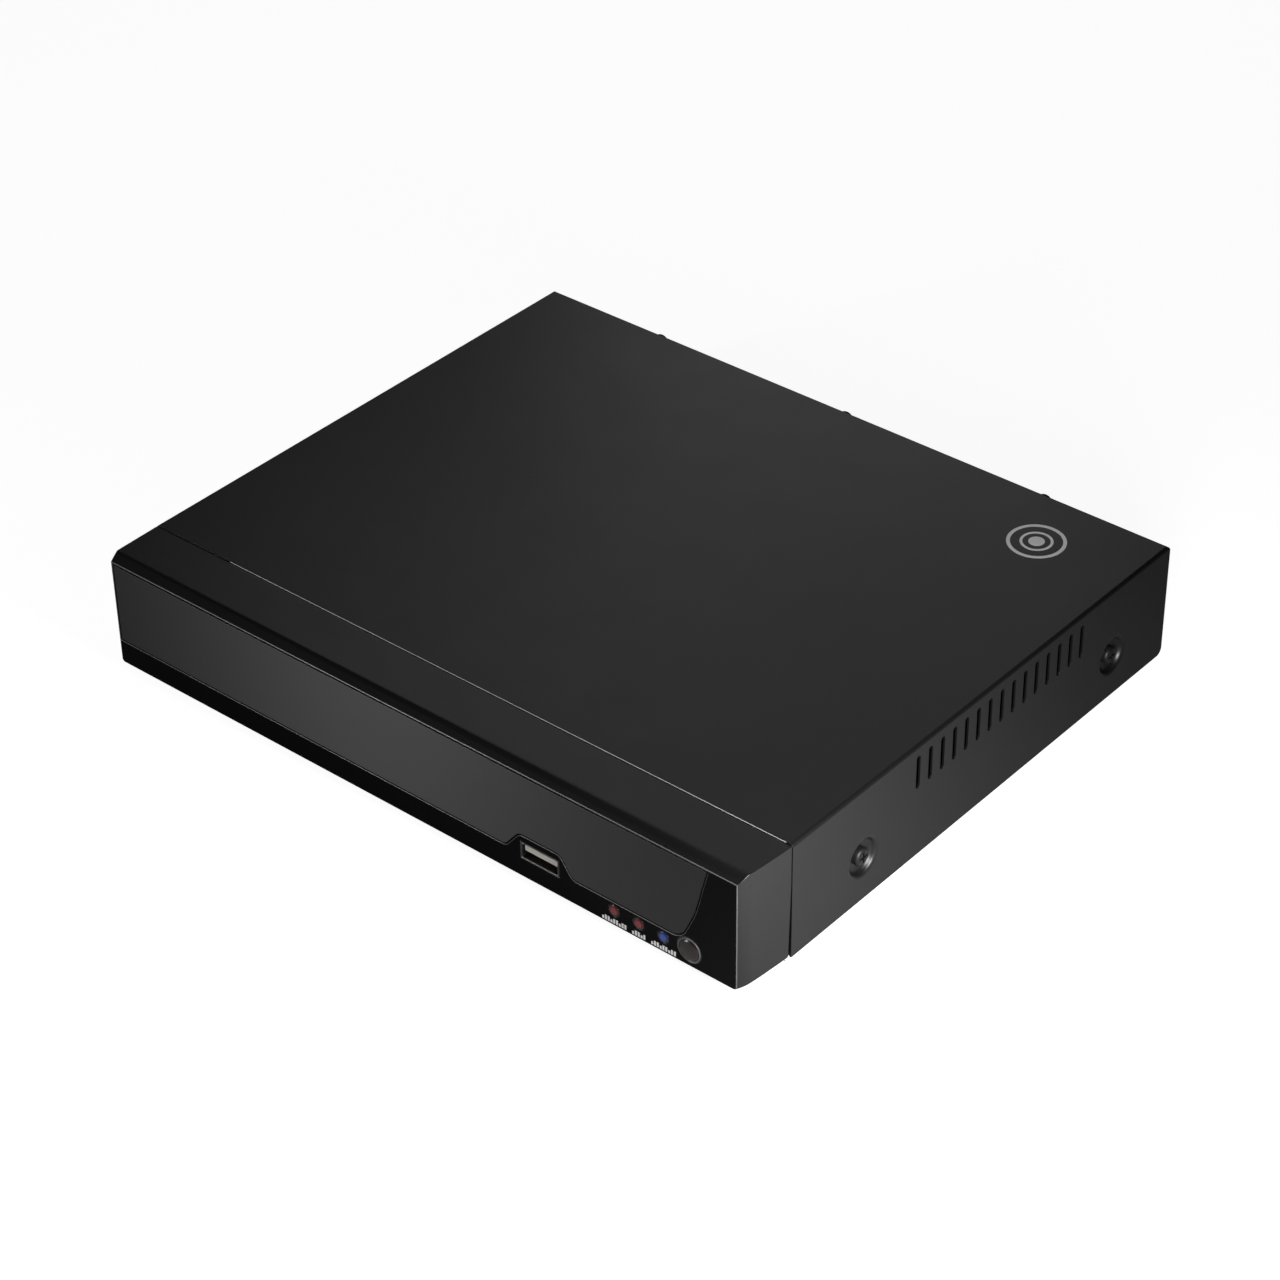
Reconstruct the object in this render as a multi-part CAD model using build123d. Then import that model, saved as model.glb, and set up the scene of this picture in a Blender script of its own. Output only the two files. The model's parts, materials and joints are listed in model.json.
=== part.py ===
from build123d import *

import math
import os

# A small video recorder for security cameras. Units are millimetres.
# +X is the right side seen from the front, -Y is the front and +Z is up.
# The origin is the centre of the whole object's footprint, on the surface it stands on.

# ---- case ----
case_width = 255.0
case_height = 41.0
cover_depth = 191.0
bezel_depth = 21.0
rear_reach = 10.5  # how far the rear sockets stand out behind the cover
foot_height = 4.0
foot_diameter = 16.0
foot_inset = 24.0
sheet = 0.8
bend_radius = 1.3
lay_gap = 0.1  # between two sheets that lie on each other
seam_gap = 0.12  # between the bezel and the cover
fit_gap = 0.3  # round tongues, hooks and screw heads
front_flange = 27.0  # tray's front flange, from the case bottom
side_flange = 24.0
rear_wall_gap = 0.4  # under the cover's roof
standoff_root = 1.5  # radius of a pillar's root in the tray
foot_taper = 1.0
sole_dish = 1.0

# ---- cover details ----
vent_count = 15
vent_pitch = 5.98
vent_start = 59.1  # first slot's centre, behind the seam
vent_low = 25.3
vent_high = 37.1
vent_width = 1.9
cover_corner = 2.5  # rounding of the rear bottom corners
lip_drop = 8.0
recess_rim = 7.4
recess_floor = 4.3
recess_depth = 2.0
side_screw_front = 33.5  # behind the seam
side_screw_rear = 29.7  # in front of the cover's rear edge
side_screw_height = 15.5
lip_screw_inset = 45.0  # outer lip screws, inside the tray's flanges

# ---- tray details ----
disk_recess_rim = 8.6
disk_recess_floor = 5.0
tray_vent_length = 22.0
tray_vent_width = 2.4
tray_vent_rows = 6
tray_vent_pitch = 8.0
tray_vent_places = (22.0, 52.0)  # to the right of the disk
tray_vent_start = 20.0  # first row, in front of the disk's middle
lead_from_side = 52.0  # front lead, from the case's right side
lead_window = 28.0
lead_window_low = 6.0
lead_window_high = 19.0

# ---- screws ----
thread = 3.0
screw_gap = 0.15  # radial clearance round a shank
head_ratio = 2.0
head_height = 2.0
small_thread = 2.0
short_screw = 4.8
recess_arm = 0.8  # width of a cross recess

# ---- bezel ----
bezel_wall = 2.2
bezel_inset = 0.2  # inside the cover's side
bezel_drop = 0.45  # below the cover's top
cheek_bow = 1.3  # how far a cheek has come in where its front corner starts
cheek_corner = 5.2  # length of that corner, front to back
cheek_fall = 3.1  # inside the cover's side, at the black face
cheek_share = 0.42  # how much of the bow a cheek's middle has
left_bow = 0.2  # the left end is fuller than the right
left_fall = 1.0
sole_edge = 1.2  # rounding under the two ends
seam_flare = 0.9  # how far the seam opens at the case bottom
seam_flare_height = 27.0
slope_depth = 3.4
slope_height = 2.25
window_thickness = 1.0
groove = 0.45
strip_height = 8.5  # black strip under the window
step_height = 15.25  # window's lower edge over the front socket
step_left = 89.6
step_left_top = 84.2
step_right_top = 68.6
step_right = 63.9
window_corner = 23.0
window_knee = 17.9
window_knee_height = 20.0
window_end = 13.4
window_margin = 0.5
hook_width = 8.0
hook_thickness = 1.8
hook_barb = 1.0
hook_height = 21.5
hook_tip = 1.6  # length of a barb along the hook
hook_inset = 27.5
hook_step = 65.0
tongue_reach = 3.0  # tongues inside the cover, behind the seam
tongue_root = 2.0
tongue_thickness = 1.5

# ---- front sockets and lamps, measured from the right side and the case bottom ----
usb_from_side = 76.3
usb_height = 10.0
usb_width = 14.4
usb_tall = 5.7
usb_skin = 0.35
usb_tongue = 1.9
usb_tongue_drop = 0.75  # under the shell's roof
usb_tongue_side = 0.6
usb_tongue_back = 0.8  # behind the mouth
usb_floor = 1.5  # closed end of a socket
usb_proud = 0.1
lamp_from_side = 29.7
lamp_pitch = 9.2
lamp_height = 5.5
lamp_diameter = 4.0
lamp_proud = 0.2
lamp_rim = 0.4
lamp_rim_thickness = 1.2
lens_from_side = 20.2
lens_height = 5.9
lens_diameter = 8.3
lens_dome = 0.9
lens_flange = 1.0
lens_flange_height = 6.4
receiver_width = 6.0
receiver_depth = 5.0
receiver_low = 2.8
receiver_high = 3.5
receiver_eye = 2.2
front_gap = 0.15  # round lamps, lens and socket in the bezel
board_thickness = 1.6
front_board_back = 11.0  # space between the bezel wall and the front board
boss_diameter = 5.2
front_board_height = 19.0  # its top, from the case bottom
front_board_gap = 0.6
front_board_left = 9.0  # beside the front socket's middle
front_board_right = 8.0  # beside the lens's middle
front_screw_left = 14.5
front_screw_right = 4.0
front_screw_height = 15.6
front_screw_length = 7.0

# ---- main board and what stands on it ----
standoff_height = 4.0
standoff_across = 5.0
board_depth = 72.0
board_margin = 2.0
board_back_gap = 0.7
fan_bay = 42.0
panel_gap = 0.3  # round a socket in the rear wall
socket_proud = 0.8  # socket mouths outside the rear wall
heat_sink_size = 30.0
heat_sink_height = 10.0
heat_sink_fins = 8
heat_sink_base = 2.4
heat_sink_fin = 1.2
processor_size = 23.0
capacitor_radius = 4.0
capacitor_height = 10.0
capacitor_pitch = 10.0
capacitor_count = 4
inductor_size = 8.0
inductor_height = 4.5
inductor_pitch = 12.0
inductor_count = 3
parts_left = 14.0  # first capacitor and coil, from the board's left end
capacitor_row = 40.0  # in front of the board's rear edge
inductor_row = 18.0  # behind the board's front edge
buzzer_radius = 6.0
buzzer_height = 8.5
cell_diameter = 20.0
cell_height = 3.2
holder_wall = 1.8
holder_height = 4.2
holder_floor = 1.0

# ---- rear sockets, from the board's left end along the rear wall ----
dc_place = 8.0
lan_step = 18.0
usb_rear_step = 20.0
hdmi_step = 21.0
vga_step = 28.0
rca_step = 26.0
bnc_step = 17.0
bnc_pitch = 16.0
bnc_rise = 14.0
bnc_columns = 4
bnc_rows = 2
bnc_radius = 4.85
bnc_bore = 4.05
bnc_low = 7.0  # lower row's centre above the board
bnc_body_depth = 14.0
socket_root = 2.0  # how deep a round barrel sits in its block
body_gap = 0.4  # between the sockets' blocks and the rear wall
bnc_lug = 0.95
bnc_lug_reach = 0.8
bnc_lug_place = 3.2  # behind the barrel's tip
bnc_insulator = 2.4
bnc_insulator_drop = 1.8  # inside the barrel's tip
bnc_contact = 0.95
bnc_contact_bore = 0.5
bnc_contact_length = 5.6
rca_radius = 4.15
rca_collar = 4.35  # radius of the root that passes through the rear wall
rca_root = 0.4  # how far that root stands out of the wall
rca_bore = 3.35
rca_rise = 14.0
rca_low = 7.0
rca_reach = 9.0  # barrel in front of its root
rca_body_width = 10.0
rca_body_depth = 12.0
rca_insert_drop = 0.8
rca_contact = 1.6
dc_width = 9.0
dc_height = 11.0
dc_body_depth = 14.0
dc_bore = 3.15
dc_pin_radius = 1.0
dc_rise = 6.5  # bore's centre above the board
dc_bore_depth = 10.0
dc_pin_length = 9.0
lan_width = 16.0
lan_height = 13.5
lan_body_depth = 21.0
lan_room_width = 11.8
lan_room_depth = 13.0
lan_room_low = 4.0
lan_room_high = 11.2
lan_latch_width = 6.2
lan_latch_low = 2.4
lan_contact_pitch = 1.02
lan_contact_width = 0.45
lan_contact_count = 8
hdmi_width = 15.0
hdmi_height = 6.0
hdmi_body_depth = 12.0
hdmi_skin = 0.5
hdmi_tongue_width = 11.2
hdmi_tongue_low = 0.2
hdmi_tongue_high = 0.9
hdmi_slant_height = 2.2
hdmi_slant_width = 1.9
vga_plate_width = 30.8
vga_plate_height = 12.5
vga_shell_width = 16.9
vga_shell_height = 8.3
vga_reach = 5.8
vga_screw_spacing = 24.99
vga_screw_radius = 1.5
vga_plate = 0.8
vga_body_depth = 11.0
vga_skin = 0.5
vga_fit = 0.1
vga_slant = 1.4
vga_corner = 2.0
vga_contact_pitch = 2.29
vga_row_pitch = 1.98
vga_contact = 0.5
vga_nut = 2.4
vga_nut_length = 5.0
vga_nut_bore = 1.1
stack_height = 15.6
stack_depth = 17.5

# ---- fan ----
fan_size = 30.0
fan_thickness = 10.0
fan_lift = 1.2
fan_hole_inset = 3.0  # screw centres from the frame's sides
fan_wall = 1.2  # frame at its thinnest
fan_hub = 9.0
fan_floor = 1.5  # thickness of the motor seat and its arms
grille_rings = 3
grille_slot = 2.0
grille_pitch = 3.5
grille_edge = 0.4  # outermost slot inside the fan's bore
grille_spoke = 1.8
fan_arm = 2.4  # width of an arm
fan_tip_gap = 0.6
fan_blades = 7
fan_shaft = 1.0
bearing_gap = 0.05  # radial running clearance of every bearing
fan_bearing = 2.2
fan_bearing_height = 7.0
fan_coil = 7.0
fan_coil_slot = 1.4
fan_cup_lift = 2.1
fan_cup_gap = 0.7  # between the rotor and the rear wall
fan_cup_wall = 1.2
fan_blade = 0.9
fan_blade_angle = 38.0

# ---- hard disk (3.5 inch) ----
disk_length = 147.0
disk_width = 101.6
disk_height = 26.1
disk_lift = 3.0
disk_side_gap = 5.0
disk_front_gap = 9.0
disk_hole_first = 41.28  # from the connector end
disk_hole_step = 44.45
disk_hole_span = 95.25
disk_wall = 2.3
disk_corner = 3.0
disk_lid_thickness = 0.8
disk_lid_inset = 0.5
disk_floor_height = 9.0
disk_screw_depth = 5.0
spindle_place = 50.8  # from the disk's left end
bay_place = 34.0  # arm bay's start, from the spindle
bay_end = 4.0
disk_board_length = 60.0
disk_board_width = 86.0
disk_board_inset = 1.0
disk_board_room = 4.2
platter_radius = 47.5
platter_thickness = 1.27
platter_gap = 3.2
platter_lift = 4.6  # lowest disk above the chamber's floor
hub_radius = 12.5
hub_collar = 2.5
hub_lift = 0.6
clamp_thickness = 1.2
spindle_radius = 3.0
pivot_radius = 3.5
pivot_along = 56.7
pivot_across = -18.0
arm_length = 49.0
arm_thickness = 1.0
arm_block = 8.0
coil_outer = 26.0
coil_inner = 8.0
coil_half_angle = 21.0
coil_half = 1.2
magnet_outer = 27.5
magnet_inner = 10.5
magnet_thickness = 2.5
magnet_gap = 1.0  # above and under the coil
magnet_spare = 26.0  # degrees past the coil's middle at each end of its travel
arm_rest_angle = 108.6  # degrees from +X, heads parked beside the platters
head_swing_range = 34.0

# ---- internal leads ----
data_lead_radius = 2.4
power_lead_radius = 2.4
thin_lead_radius = 1.3

# ---- places worked out from the sizes above ----
total_depth = lens_dome + bezel_depth + cover_depth + rear_reach
side_x = case_width / 2
front_y = -total_depth / 2 + lens_dome
seam_y = front_y + bezel_depth
rear_y = seam_y + cover_depth
tip_y = rear_y + rear_reach
base_z = foot_height
top_z = base_z + case_height
floor_z = base_z + sheet
roof_z = top_z - sheet
flange_x = side_x - recess_depth - sheet - lay_gap
wall_y = rear_y - sheet - lay_gap  # rear wall's outer face
wall_in_y = wall_y - sheet
pan_y = seam_y + 0.5
mouth_y = wall_y + socket_proud

board_z = floor_z + standoff_height + board_thickness  # main board's top face
board_low_x = -flange_x + sheet + board_margin
board_high_x = flange_x - sheet - fan_bay
board_high_y = wall_in_y - board_back_gap
board_low_y = board_high_y - board_depth

dc_x = board_low_x + dc_place
lan_x = dc_x + lan_step
usb_rear_x = lan_x + usb_rear_step
hdmi_x = usb_rear_x + hdmi_step
vga_x = hdmi_x + vga_step
rca_x = vga_x + rca_step
bnc_x = [rca_x + bnc_step + column * bnc_pitch for column in range(bnc_columns)]
bnc_z = [board_z + bnc_low + row * bnc_rise for row in range(bnc_rows)]
bnc_places = [(x, z) for x in bnc_x for z in bnc_z]
rca_z = [board_z + rca_low + row * rca_rise for row in range(2)]
vga_z = board_z + vga_plate_height / 2
dc_z = board_z + dc_rise

fan_hole_spacing = fan_size - 2 * fan_hole_inset
fan_bore = fan_size / 2 - fan_wall
fan_x = flange_x - sheet - fan_bay / 2
fan_z = floor_z + fan_lift + fan_size / 2
fan_y = wall_in_y - fan_thickness

usb_x = side_x - usb_from_side
usb_z = base_z + usb_height
lamp_x = [side_x - lamp_from_side - lamp_pitch * place for place in (2, 1, 0)]
lamp_z = base_z + lamp_height
lens_x = side_x - lens_from_side
lens_z = base_z + lens_height
face_in_y = front_y + bezel_wall
front_board_y = face_in_y + front_board_back
front_board_low_x = usb_x - front_board_left
front_board_high_x = lens_x + front_board_right
front_board_low_z = base_z + bezel_wall + front_board_gap
front_board_high_z = base_z + front_board_height
front_board_screws_x = (usb_x + front_screw_left, lens_x + front_screw_right)
front_board_screw_z = base_z + front_screw_height
front_lead_x = side_x - lead_from_side

disk_low_x = -flange_x + sheet + disk_side_gap
disk_high_x = disk_low_x + disk_length
disk_low_y = pan_y + sheet + disk_front_gap
disk_y = disk_low_y + disk_width / 2
disk_z = floor_z + disk_lift
disk_top = disk_z + disk_height
disk_floor = disk_z + disk_floor_height
spindle_x = disk_low_x + spindle_place
pivot_x = spindle_x + pivot_along
pivot_y = disk_y + pivot_across
platter_low = disk_floor + platter_lift
platter_levels = [platter_low + n * (platter_thickness + platter_gap) for n in range(2)]
disk_screws_x = [disk_high_x - disk_hole_first - n * disk_hole_step for n in range(2)]
disk_screws = [(x, disk_y + s * disk_hole_span / 2) for x in disk_screws_x for s in (-1, 1)]

side_screw_y = (seam_y + side_screw_front, rear_y - side_screw_rear)
side_screw_z = base_z + side_screw_height
lip_screws_x = (lip_screw_inset - flange_x, 0.0, flange_x - lip_screw_inset)
lip_screw_z = top_z - lip_drop / 2
standoffs = [
    (board_low_x + 4.5, board_low_y + 5.0),
    (board_high_x - 4.5, board_low_y + 5.0),
    ((board_low_x + board_high_x) / 2, board_low_y + 5.0),
    (board_low_x + 4.5, board_high_y - 32.0),
    (board_high_x - 4.5, board_high_y - 32.0),
]
hook_places = (side_x - hook_inset - hook_step, side_x - hook_inset)
hooks_x = [side * x for side in (-1, 1) for x in hook_places]

LOW = (Align.CENTER, Align.CENTER, Align.MIN)
HIGH = (Align.CENTER, Align.CENTER, Align.MAX)


# ---- helpers ----
def slab(x, y, z):
    """A block between a low and a high value on each axis."""
    middle = Pos((x[0] + x[1]) / 2, (y[0] + y[1]) / 2, (z[0] + z[1]) / 2)
    return middle * Box(x[1] - x[0], y[1] - y[0], z[1] - z[0])


def middle_slab(x, width, y, z):
    """A block centred on one X value."""
    return slab((x - width / 2, x + width / 2), y, z)


def rod(radius, start, direction, length):
    """A cylinder that leaves a start point along a direction."""
    return Plane(origin=start, z_dir=direction) * Cylinder(radius, length, align=LOW)


def ring(outer, inner, start, direction, length):
    """A round tube that leaves a start point along a direction."""
    return rod(outer, start, direction, length) - rod(inner, start, direction, length)


def together(shapes):
    """Separate solids kept in one node."""
    return Compound(children=[solid for shape in shapes for solid in shape.solids()])


def save(name, shape):
    """Write one named piece."""
    export_step(shape, f"parts/{name}.step")


def dished(rim, floor, depth, above):
    """A round pressing with an S-shaped flank, its rim at z=0 and its floor at z=-depth."""
    middle = (rim + floor) / 2
    upper = TangentArc((rim, 0), (middle, -depth / 2), tangent=(-1, 0))
    lower = TangentArc((floor, -depth), (middle, -depth / 2), tangent=(1, 0))
    rest = Polyline((floor, -depth), (0, -depth), (0, above), (rim, above), (rim, 0))
    outline = make_face([upper, lower, *rest.edges()])
    return revolve(Plane.XZ * outline, Axis.Z)


def press(shape, place, rim, floor, depth, hole):
    """Press a dished recess with a screw hole into a sheet; the place's +Z leaves its outer face."""
    skin = sheet / 2
    shape += place * Pos(0, 0, -sheet) * dished(rim + skin, floor + skin, depth, skin)
    shape -= place * dished(rim, floor, depth, 1.0)
    return shape - place * Cylinder(hole, 4 * (depth + sheet))


def cross_screw(diameter, length, head_radius, tall):
    """A pan-head screw with a cross recess: the head stands on z=0 and the shank goes down."""
    head = Cylinder(head_radius, tall, align=LOW)
    head = fillet(head.edges().sort_by(Axis.Z)[-1], tall * 0.55)
    reach = head_radius * 1.25
    low = (0, 0, tall * 0.45)
    cross = Pos(*low) * Box(reach, recess_arm, tall, align=LOW)
    cross += Pos(*low) * Box(recess_arm, reach, tall, align=LOW)
    shank = chamfer(Cylinder(diameter / 2, length, align=HIGH).edges().sort_by(Axis.Z)[0], 0.3)
    return head - cross + shank


def screws(places, direction, diameter, length, tall):
    """Equal screws, one at each place."""
    one = cross_screw(diameter, length, diameter / 2 * head_ratio, tall)
    return together([Plane(origin=place, z_dir=direction) * one for place in places])


def lead(points, radii, radius):
    """A round lead along straight runs joined by tangent arcs."""
    path = FilletPolyline(*points, radius=radii)
    start = path @ 0
    section = Plane(origin=start, z_dir=path % 0) * Circle(radius)
    return sweep(section, path)


# ---- case ----
def top_cover():
    """Painted sleeve: top, two sides with vents and pressed recesses, and a rear lip."""
    shell = slab((-side_x, side_x), (seam_y, rear_y), (base_z, top_z))
    top_edges = shell.edges().group_by(Axis.Z)[-1]
    shell = fillet(top_edges.filter_by(Axis.Y) + top_edges.sort_by(Axis.Y)[-1:], bend_radius)
    inside = side_x - sheet
    hollow = slab((-inside, inside), (seam_y - 1, rear_y - sheet), (base_z - 1, roof_z))
    hollow = fillet(hollow.edges().group_by(Axis.Z)[-1].filter_by(Axis.Y), bend_radius - sheet)
    shell -= hollow
    shell -= slab((-inside, inside), (rear_y - 2, rear_y + 1), (base_z - 1, top_z - lip_drop))
    for side in (-1, 1):
        for y in side_screw_y:
            place = Plane(origin=(side * side_x, y, side_screw_z), z_dir=(side, 0, 0))
            shell = press(shell, place, recess_rim, recess_floor, recess_depth, thread / 2 + screw_gap)
    vent_z = base_z + (vent_low + vent_high) / 2
    slot = SlotOverall(vent_high - vent_low, vent_width, rotation=90)
    slot = extrude(Plane.YZ * slot, amount=side_x + 1, both=True)
    for place in range(vent_count):
        shell -= Pos(0, seam_y + vent_start + place * vent_pitch, vent_z) * slot
    for x in lip_screws_x:
        shell -= rod(thread / 2 + screw_gap, (x, rear_y - 2, lip_screw_z), (0, 1, 0), 4)
    corners = shell.edges().filter_by(Axis.X).group_by(Axis.Z)[0].group_by(Axis.Y)[-1]
    shell = fillet(corners, cover_corner)
    for x, z in fan_hole_places():
        head = thread / 2 * head_ratio + fit_gap
        shell -= rod(head, (x, rear_y - sheet - lay_gap / 2, z), (0, 1, 0), sheet + 1)
    return shell


def tray():
    """Bottom, side flanges, front flange and rear wall before any hole is cut."""
    wide = (-flange_x, flange_x)
    body = slab(wide, (pan_y, wall_y), (base_z, floor_z))
    body += slab(wide, (pan_y, pan_y + sheet), (base_z, base_z + front_flange))
    body += slab(wide, (wall_in_y, wall_y), (base_z, roof_z - rear_wall_gap))
    for side in (-1, 1):
        edge = sorted((side * flange_x, side * (flange_x - sheet)))
        body += slab(edge, (pan_y, wall_y), (base_z, base_z + side_flange))
    return body


def grille():
    """Ring slots with four spokes in front of the fan."""
    cut = None
    for place in range(grille_rings):
        outer = fan_bore - grille_edge - place * grille_pitch
        band = ring(outer, outer - grille_slot, (fan_x, wall_in_y - 1, fan_z), (0, 1, 0), sheet + 2)
        cut = band if cut is None else cut + band
    for turn in (45, 135):
        spoke = Box(2 * fan_size, sheet + 4, grille_spoke)
        cut -= Pos(fan_x, wall_y, fan_z) * Rot(0, turn, 0) * spoke
    return cut


def rear_cutouts():
    """Everything that is cut out of the rear wall."""
    through = (wall_in_y - 1, wall_y + 1)
    start_y = wall_in_y - 1
    cuts = [grille()]

    def window(x, width, low, high):
        cuts.append(middle_slab(x, width + 2 * panel_gap, through, (low - panel_gap, high + panel_gap)))

    def hole(x, z, radius):
        cuts.append(rod(radius, (x, start_y, z), (0, 1, 0), sheet + 2))

    window(dc_x, dc_width, board_z, board_z + dc_height)
    window(lan_x, lan_width, board_z, board_z + lan_height)
    window(usb_rear_x, usb_width, board_z, board_z + stack_height)
    window(hdmi_x, hdmi_width, board_z, board_z + hdmi_height)
    window(vga_x, vga_shell_width, vga_z - vga_shell_height / 2, vga_z + vga_shell_height / 2)
    for side in (-1, 1):
        hole(vga_x + side * vga_screw_spacing / 2, vga_z, vga_screw_radius + panel_gap)
    for z in rca_z:
        hole(rca_x, z, rca_collar + panel_gap)
    for x, z in bnc_places:
        hole(x, z, bnc_radius + panel_gap)
    for x in lip_screws_x:
        hole(x, lip_screw_z, thread / 2 + screw_gap)
    for x, z in fan_hole_places():
        hole(x, z, thread / 2 + screw_gap)
    return cuts


def fan_hole_places():
    """The four fan screw centres in the rear wall."""
    half = fan_hole_spacing / 2
    return [(fan_x + a * half, fan_z + b * half) for a in (-1, 1) for b in (-1, 1)]


def chassis():
    """The steel tray that carries everything else."""
    body = tray()
    for x, y in disk_screws:
        place = Plane(origin=(x, y, base_z), z_dir=(0, 0, -1))
        body = press(body, place, disk_recess_rim, disk_recess_floor, disk_lift, thread / 2 + screw_gap)
    for side in (-1, 1):
        for y in side_screw_y:
            start = (side * (flange_x - 2), y, side_screw_z)
            body -= rod(thread / 2 + screw_gap, start, (side, 0, 0), 4)
    for x, y in standoffs:
        body -= rod(standoff_root + lay_gap, (x, y, base_z - 1), (0, 0, 1), sheet + 2)
    for cut in rear_cutouts():
        body -= cut
    through_flange = (pan_y - 1, pan_y + 2)
    for x in hooks_x:
        low = base_z + hook_height - fit_gap
        high = low + hook_thickness + hook_barb + 2 * fit_gap
        body -= middle_slab(x, hook_width + 2 * fit_gap, through_flange, (low, high))
    window = (base_z + lead_window_low, base_z + lead_window_high)
    body -= middle_slab(front_lead_x, lead_window, through_flange, window)
    vent = extrude(SlotOverall(tray_vent_length, tray_vent_width), amount=3, both=True)
    for row in range(tray_vent_rows):
        for place in tray_vent_places:
            y = disk_y - tray_vent_start + row * tray_vent_pitch
            body -= Pos(disk_high_x + place, y, base_z) * vent
    return body


def rubber_feet():
    """Four round feet with a dished sole, stuck under the tray."""
    foot = Cone(foot_diameter / 2 - foot_taper, foot_diameter / 2, foot_height, align=LOW)
    foot -= Pos(0, 0, -1) * Cylinder(foot_diameter / 4, sole_dish + 1, align=LOW)
    spots = []
    for side in (-1, 1):
        for y in (seam_y + foot_inset, wall_y - foot_inset):
            spots.append(Pos(side * (flange_x - foot_inset), y, 0) * foot)
    return together(spots)


# ---- front ----
def cheek_curve(bow, fall):
    """A right-hand cheek and its front corner, from the seam to the black face."""
    half = side_x - bezel_inset
    corner_y = front_y + cheek_corner
    middle = (half - bow * cheek_share, (corner_y + seam_y) / 2)
    cheek = ThreePointArc((half, seam_y - seam_gap), middle, (half - bow, corner_y))
    return cheek, TangentArc(cheek @ 1, (side_x - fall, front_y), tangent=cheek % 1)


def bezel_outer():
    """The moulding's outside: bowed ends in plan, and a sloping top edge in profile."""
    cheek, corner = cheek_curve(cheek_bow, cheek_fall)
    left_cheek, left_corner = [mirror(curve, about=Plane.YZ) for curve in cheek_curve(left_bow, left_fall)]
    front = Line(corner @ 1, left_corner @ 1)
    back = Line(left_cheek @ 0, cheek @ 0)
    plan = make_face([cheek, corner, front, left_corner, left_cheek, back])
    body = Pos(0, 0, base_z) * extrude(plan, amount=case_height - bezel_drop)
    sole = body.edges().group_by(Axis.Z)[0].filter_by(Axis.X, reverse=True)
    body = fillet(sole, sole_edge)
    top = top_z - bezel_drop
    profile = Polyline(
        (front_y, top - slope_height), (front_y + slope_depth, top), (front_y, top), close=True
    )
    seam = seam_y - seam_gap
    wedge = Polyline((seam, base_z + seam_flare_height), (seam - seam_flare, base_z), (seam, base_z), close=True)
    for outline in (profile, wedge):
        body -= extrude(Plane.YZ * make_face(outline), amount=side_x, both=True)
    return body


def window_outline():
    """The inlay's outline on the face, X by Z."""
    low = base_z + strip_height
    step = base_z + step_height
    top = top_z - bezel_drop - slope_height - window_margin
    left = -(side_x - left_fall) + window_margin
    corners = [
        (left, low),
        (side_x - step_left, low),
        (side_x - step_left_top, step),
        (side_x - step_right_top, step),
        (side_x - step_right, low),
        (side_x - window_corner, low),
        (side_x - window_knee, base_z + window_knee_height),
        (side_x - window_end, top),
        (left, top),
    ]
    radii = [0.4, 3, 3, 3, 3, 6, 30, 0.4, 0.4]
    return make_face(FilletPolyline(*corners, radius=radii, close=True))


def on_face(sketch, thickness):
    """A flat sketch of X by Z turned into a plate behind the front face."""
    return extrude(Pos(0, front_y, 0) * Rot(90, 0, 0) * sketch, amount=-thickness)


def front_bezel():
    """The moulded front: pocket for the inlay, openings, screw bosses, tongues and snap hooks."""
    body = bezel_outer()
    inside = side_x - bezel_inset - cheek_bow - bezel_wall
    top_in = top_z - bezel_drop - bezel_wall
    body -= slab((-inside, inside), (face_in_y, seam_y + 1), (base_z + bezel_wall, top_in))
    body -= on_face(window_outline(), window_thickness)
    usb_hole = Vector(usb_width + 2 * front_gap, usb_tall + 2 * front_gap)
    through = (front_y - 1, face_in_y + 1)
    body -= middle_slab(usb_x, usb_hole.X, through, (usb_z - usb_hole.Y / 2, usb_z + usb_hole.Y / 2))
    for x in lamp_x:
        body -= rod(lamp_diameter / 2 + front_gap, (x, front_y - 1, lamp_z), (0, 1, 0), bezel_wall + 2)
    body -= rod(lens_diameter / 2 + front_gap, (lens_x, front_y - 1, lens_z), (0, 1, 0), bezel_wall + 2)
    for x in front_board_screws_x:
        start = (x, face_in_y - 0.1, front_board_screw_z)
        body += rod(boss_diameter / 2, start, (0, 1, 0), front_board_back + 0.1)
        deep = (x, face_in_y + 1, front_board_screw_z)
        body -= rod(small_thread / 2 + lay_gap, deep, (0, 1, 0), front_board_back)
    tongue = (seam_y - seam_gap - tongue_root, seam_y + tongue_reach)
    tongue_top = roof_z - fit_gap
    body += slab((-inside, inside), tongue, (tongue_top - tongue_thickness, tongue_top))
    for side in (-1, 1):
        edge = sorted((side * (side_x - sheet - fit_gap), side * (flange_x + fit_gap)))
        body += slab(edge, tongue, (base_z, tongue_top))
    barb_y = pan_y + sheet + fit_gap
    for x in hooks_x:
        low = base_z + hook_height
        high = low + hook_thickness
        body += middle_slab(x, hook_width, (face_in_y - 0.1, barb_y + hook_tip), (low, high))
        body += middle_slab(x, hook_width, (barb_y, barb_y + hook_tip), (low, high + hook_barb))
    return body


def front_window():
    """The glossy inlay, a groove smaller than its pocket along its lower and right edges."""
    return on_face(offset(window_outline(), -groove), window_thickness)


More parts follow.
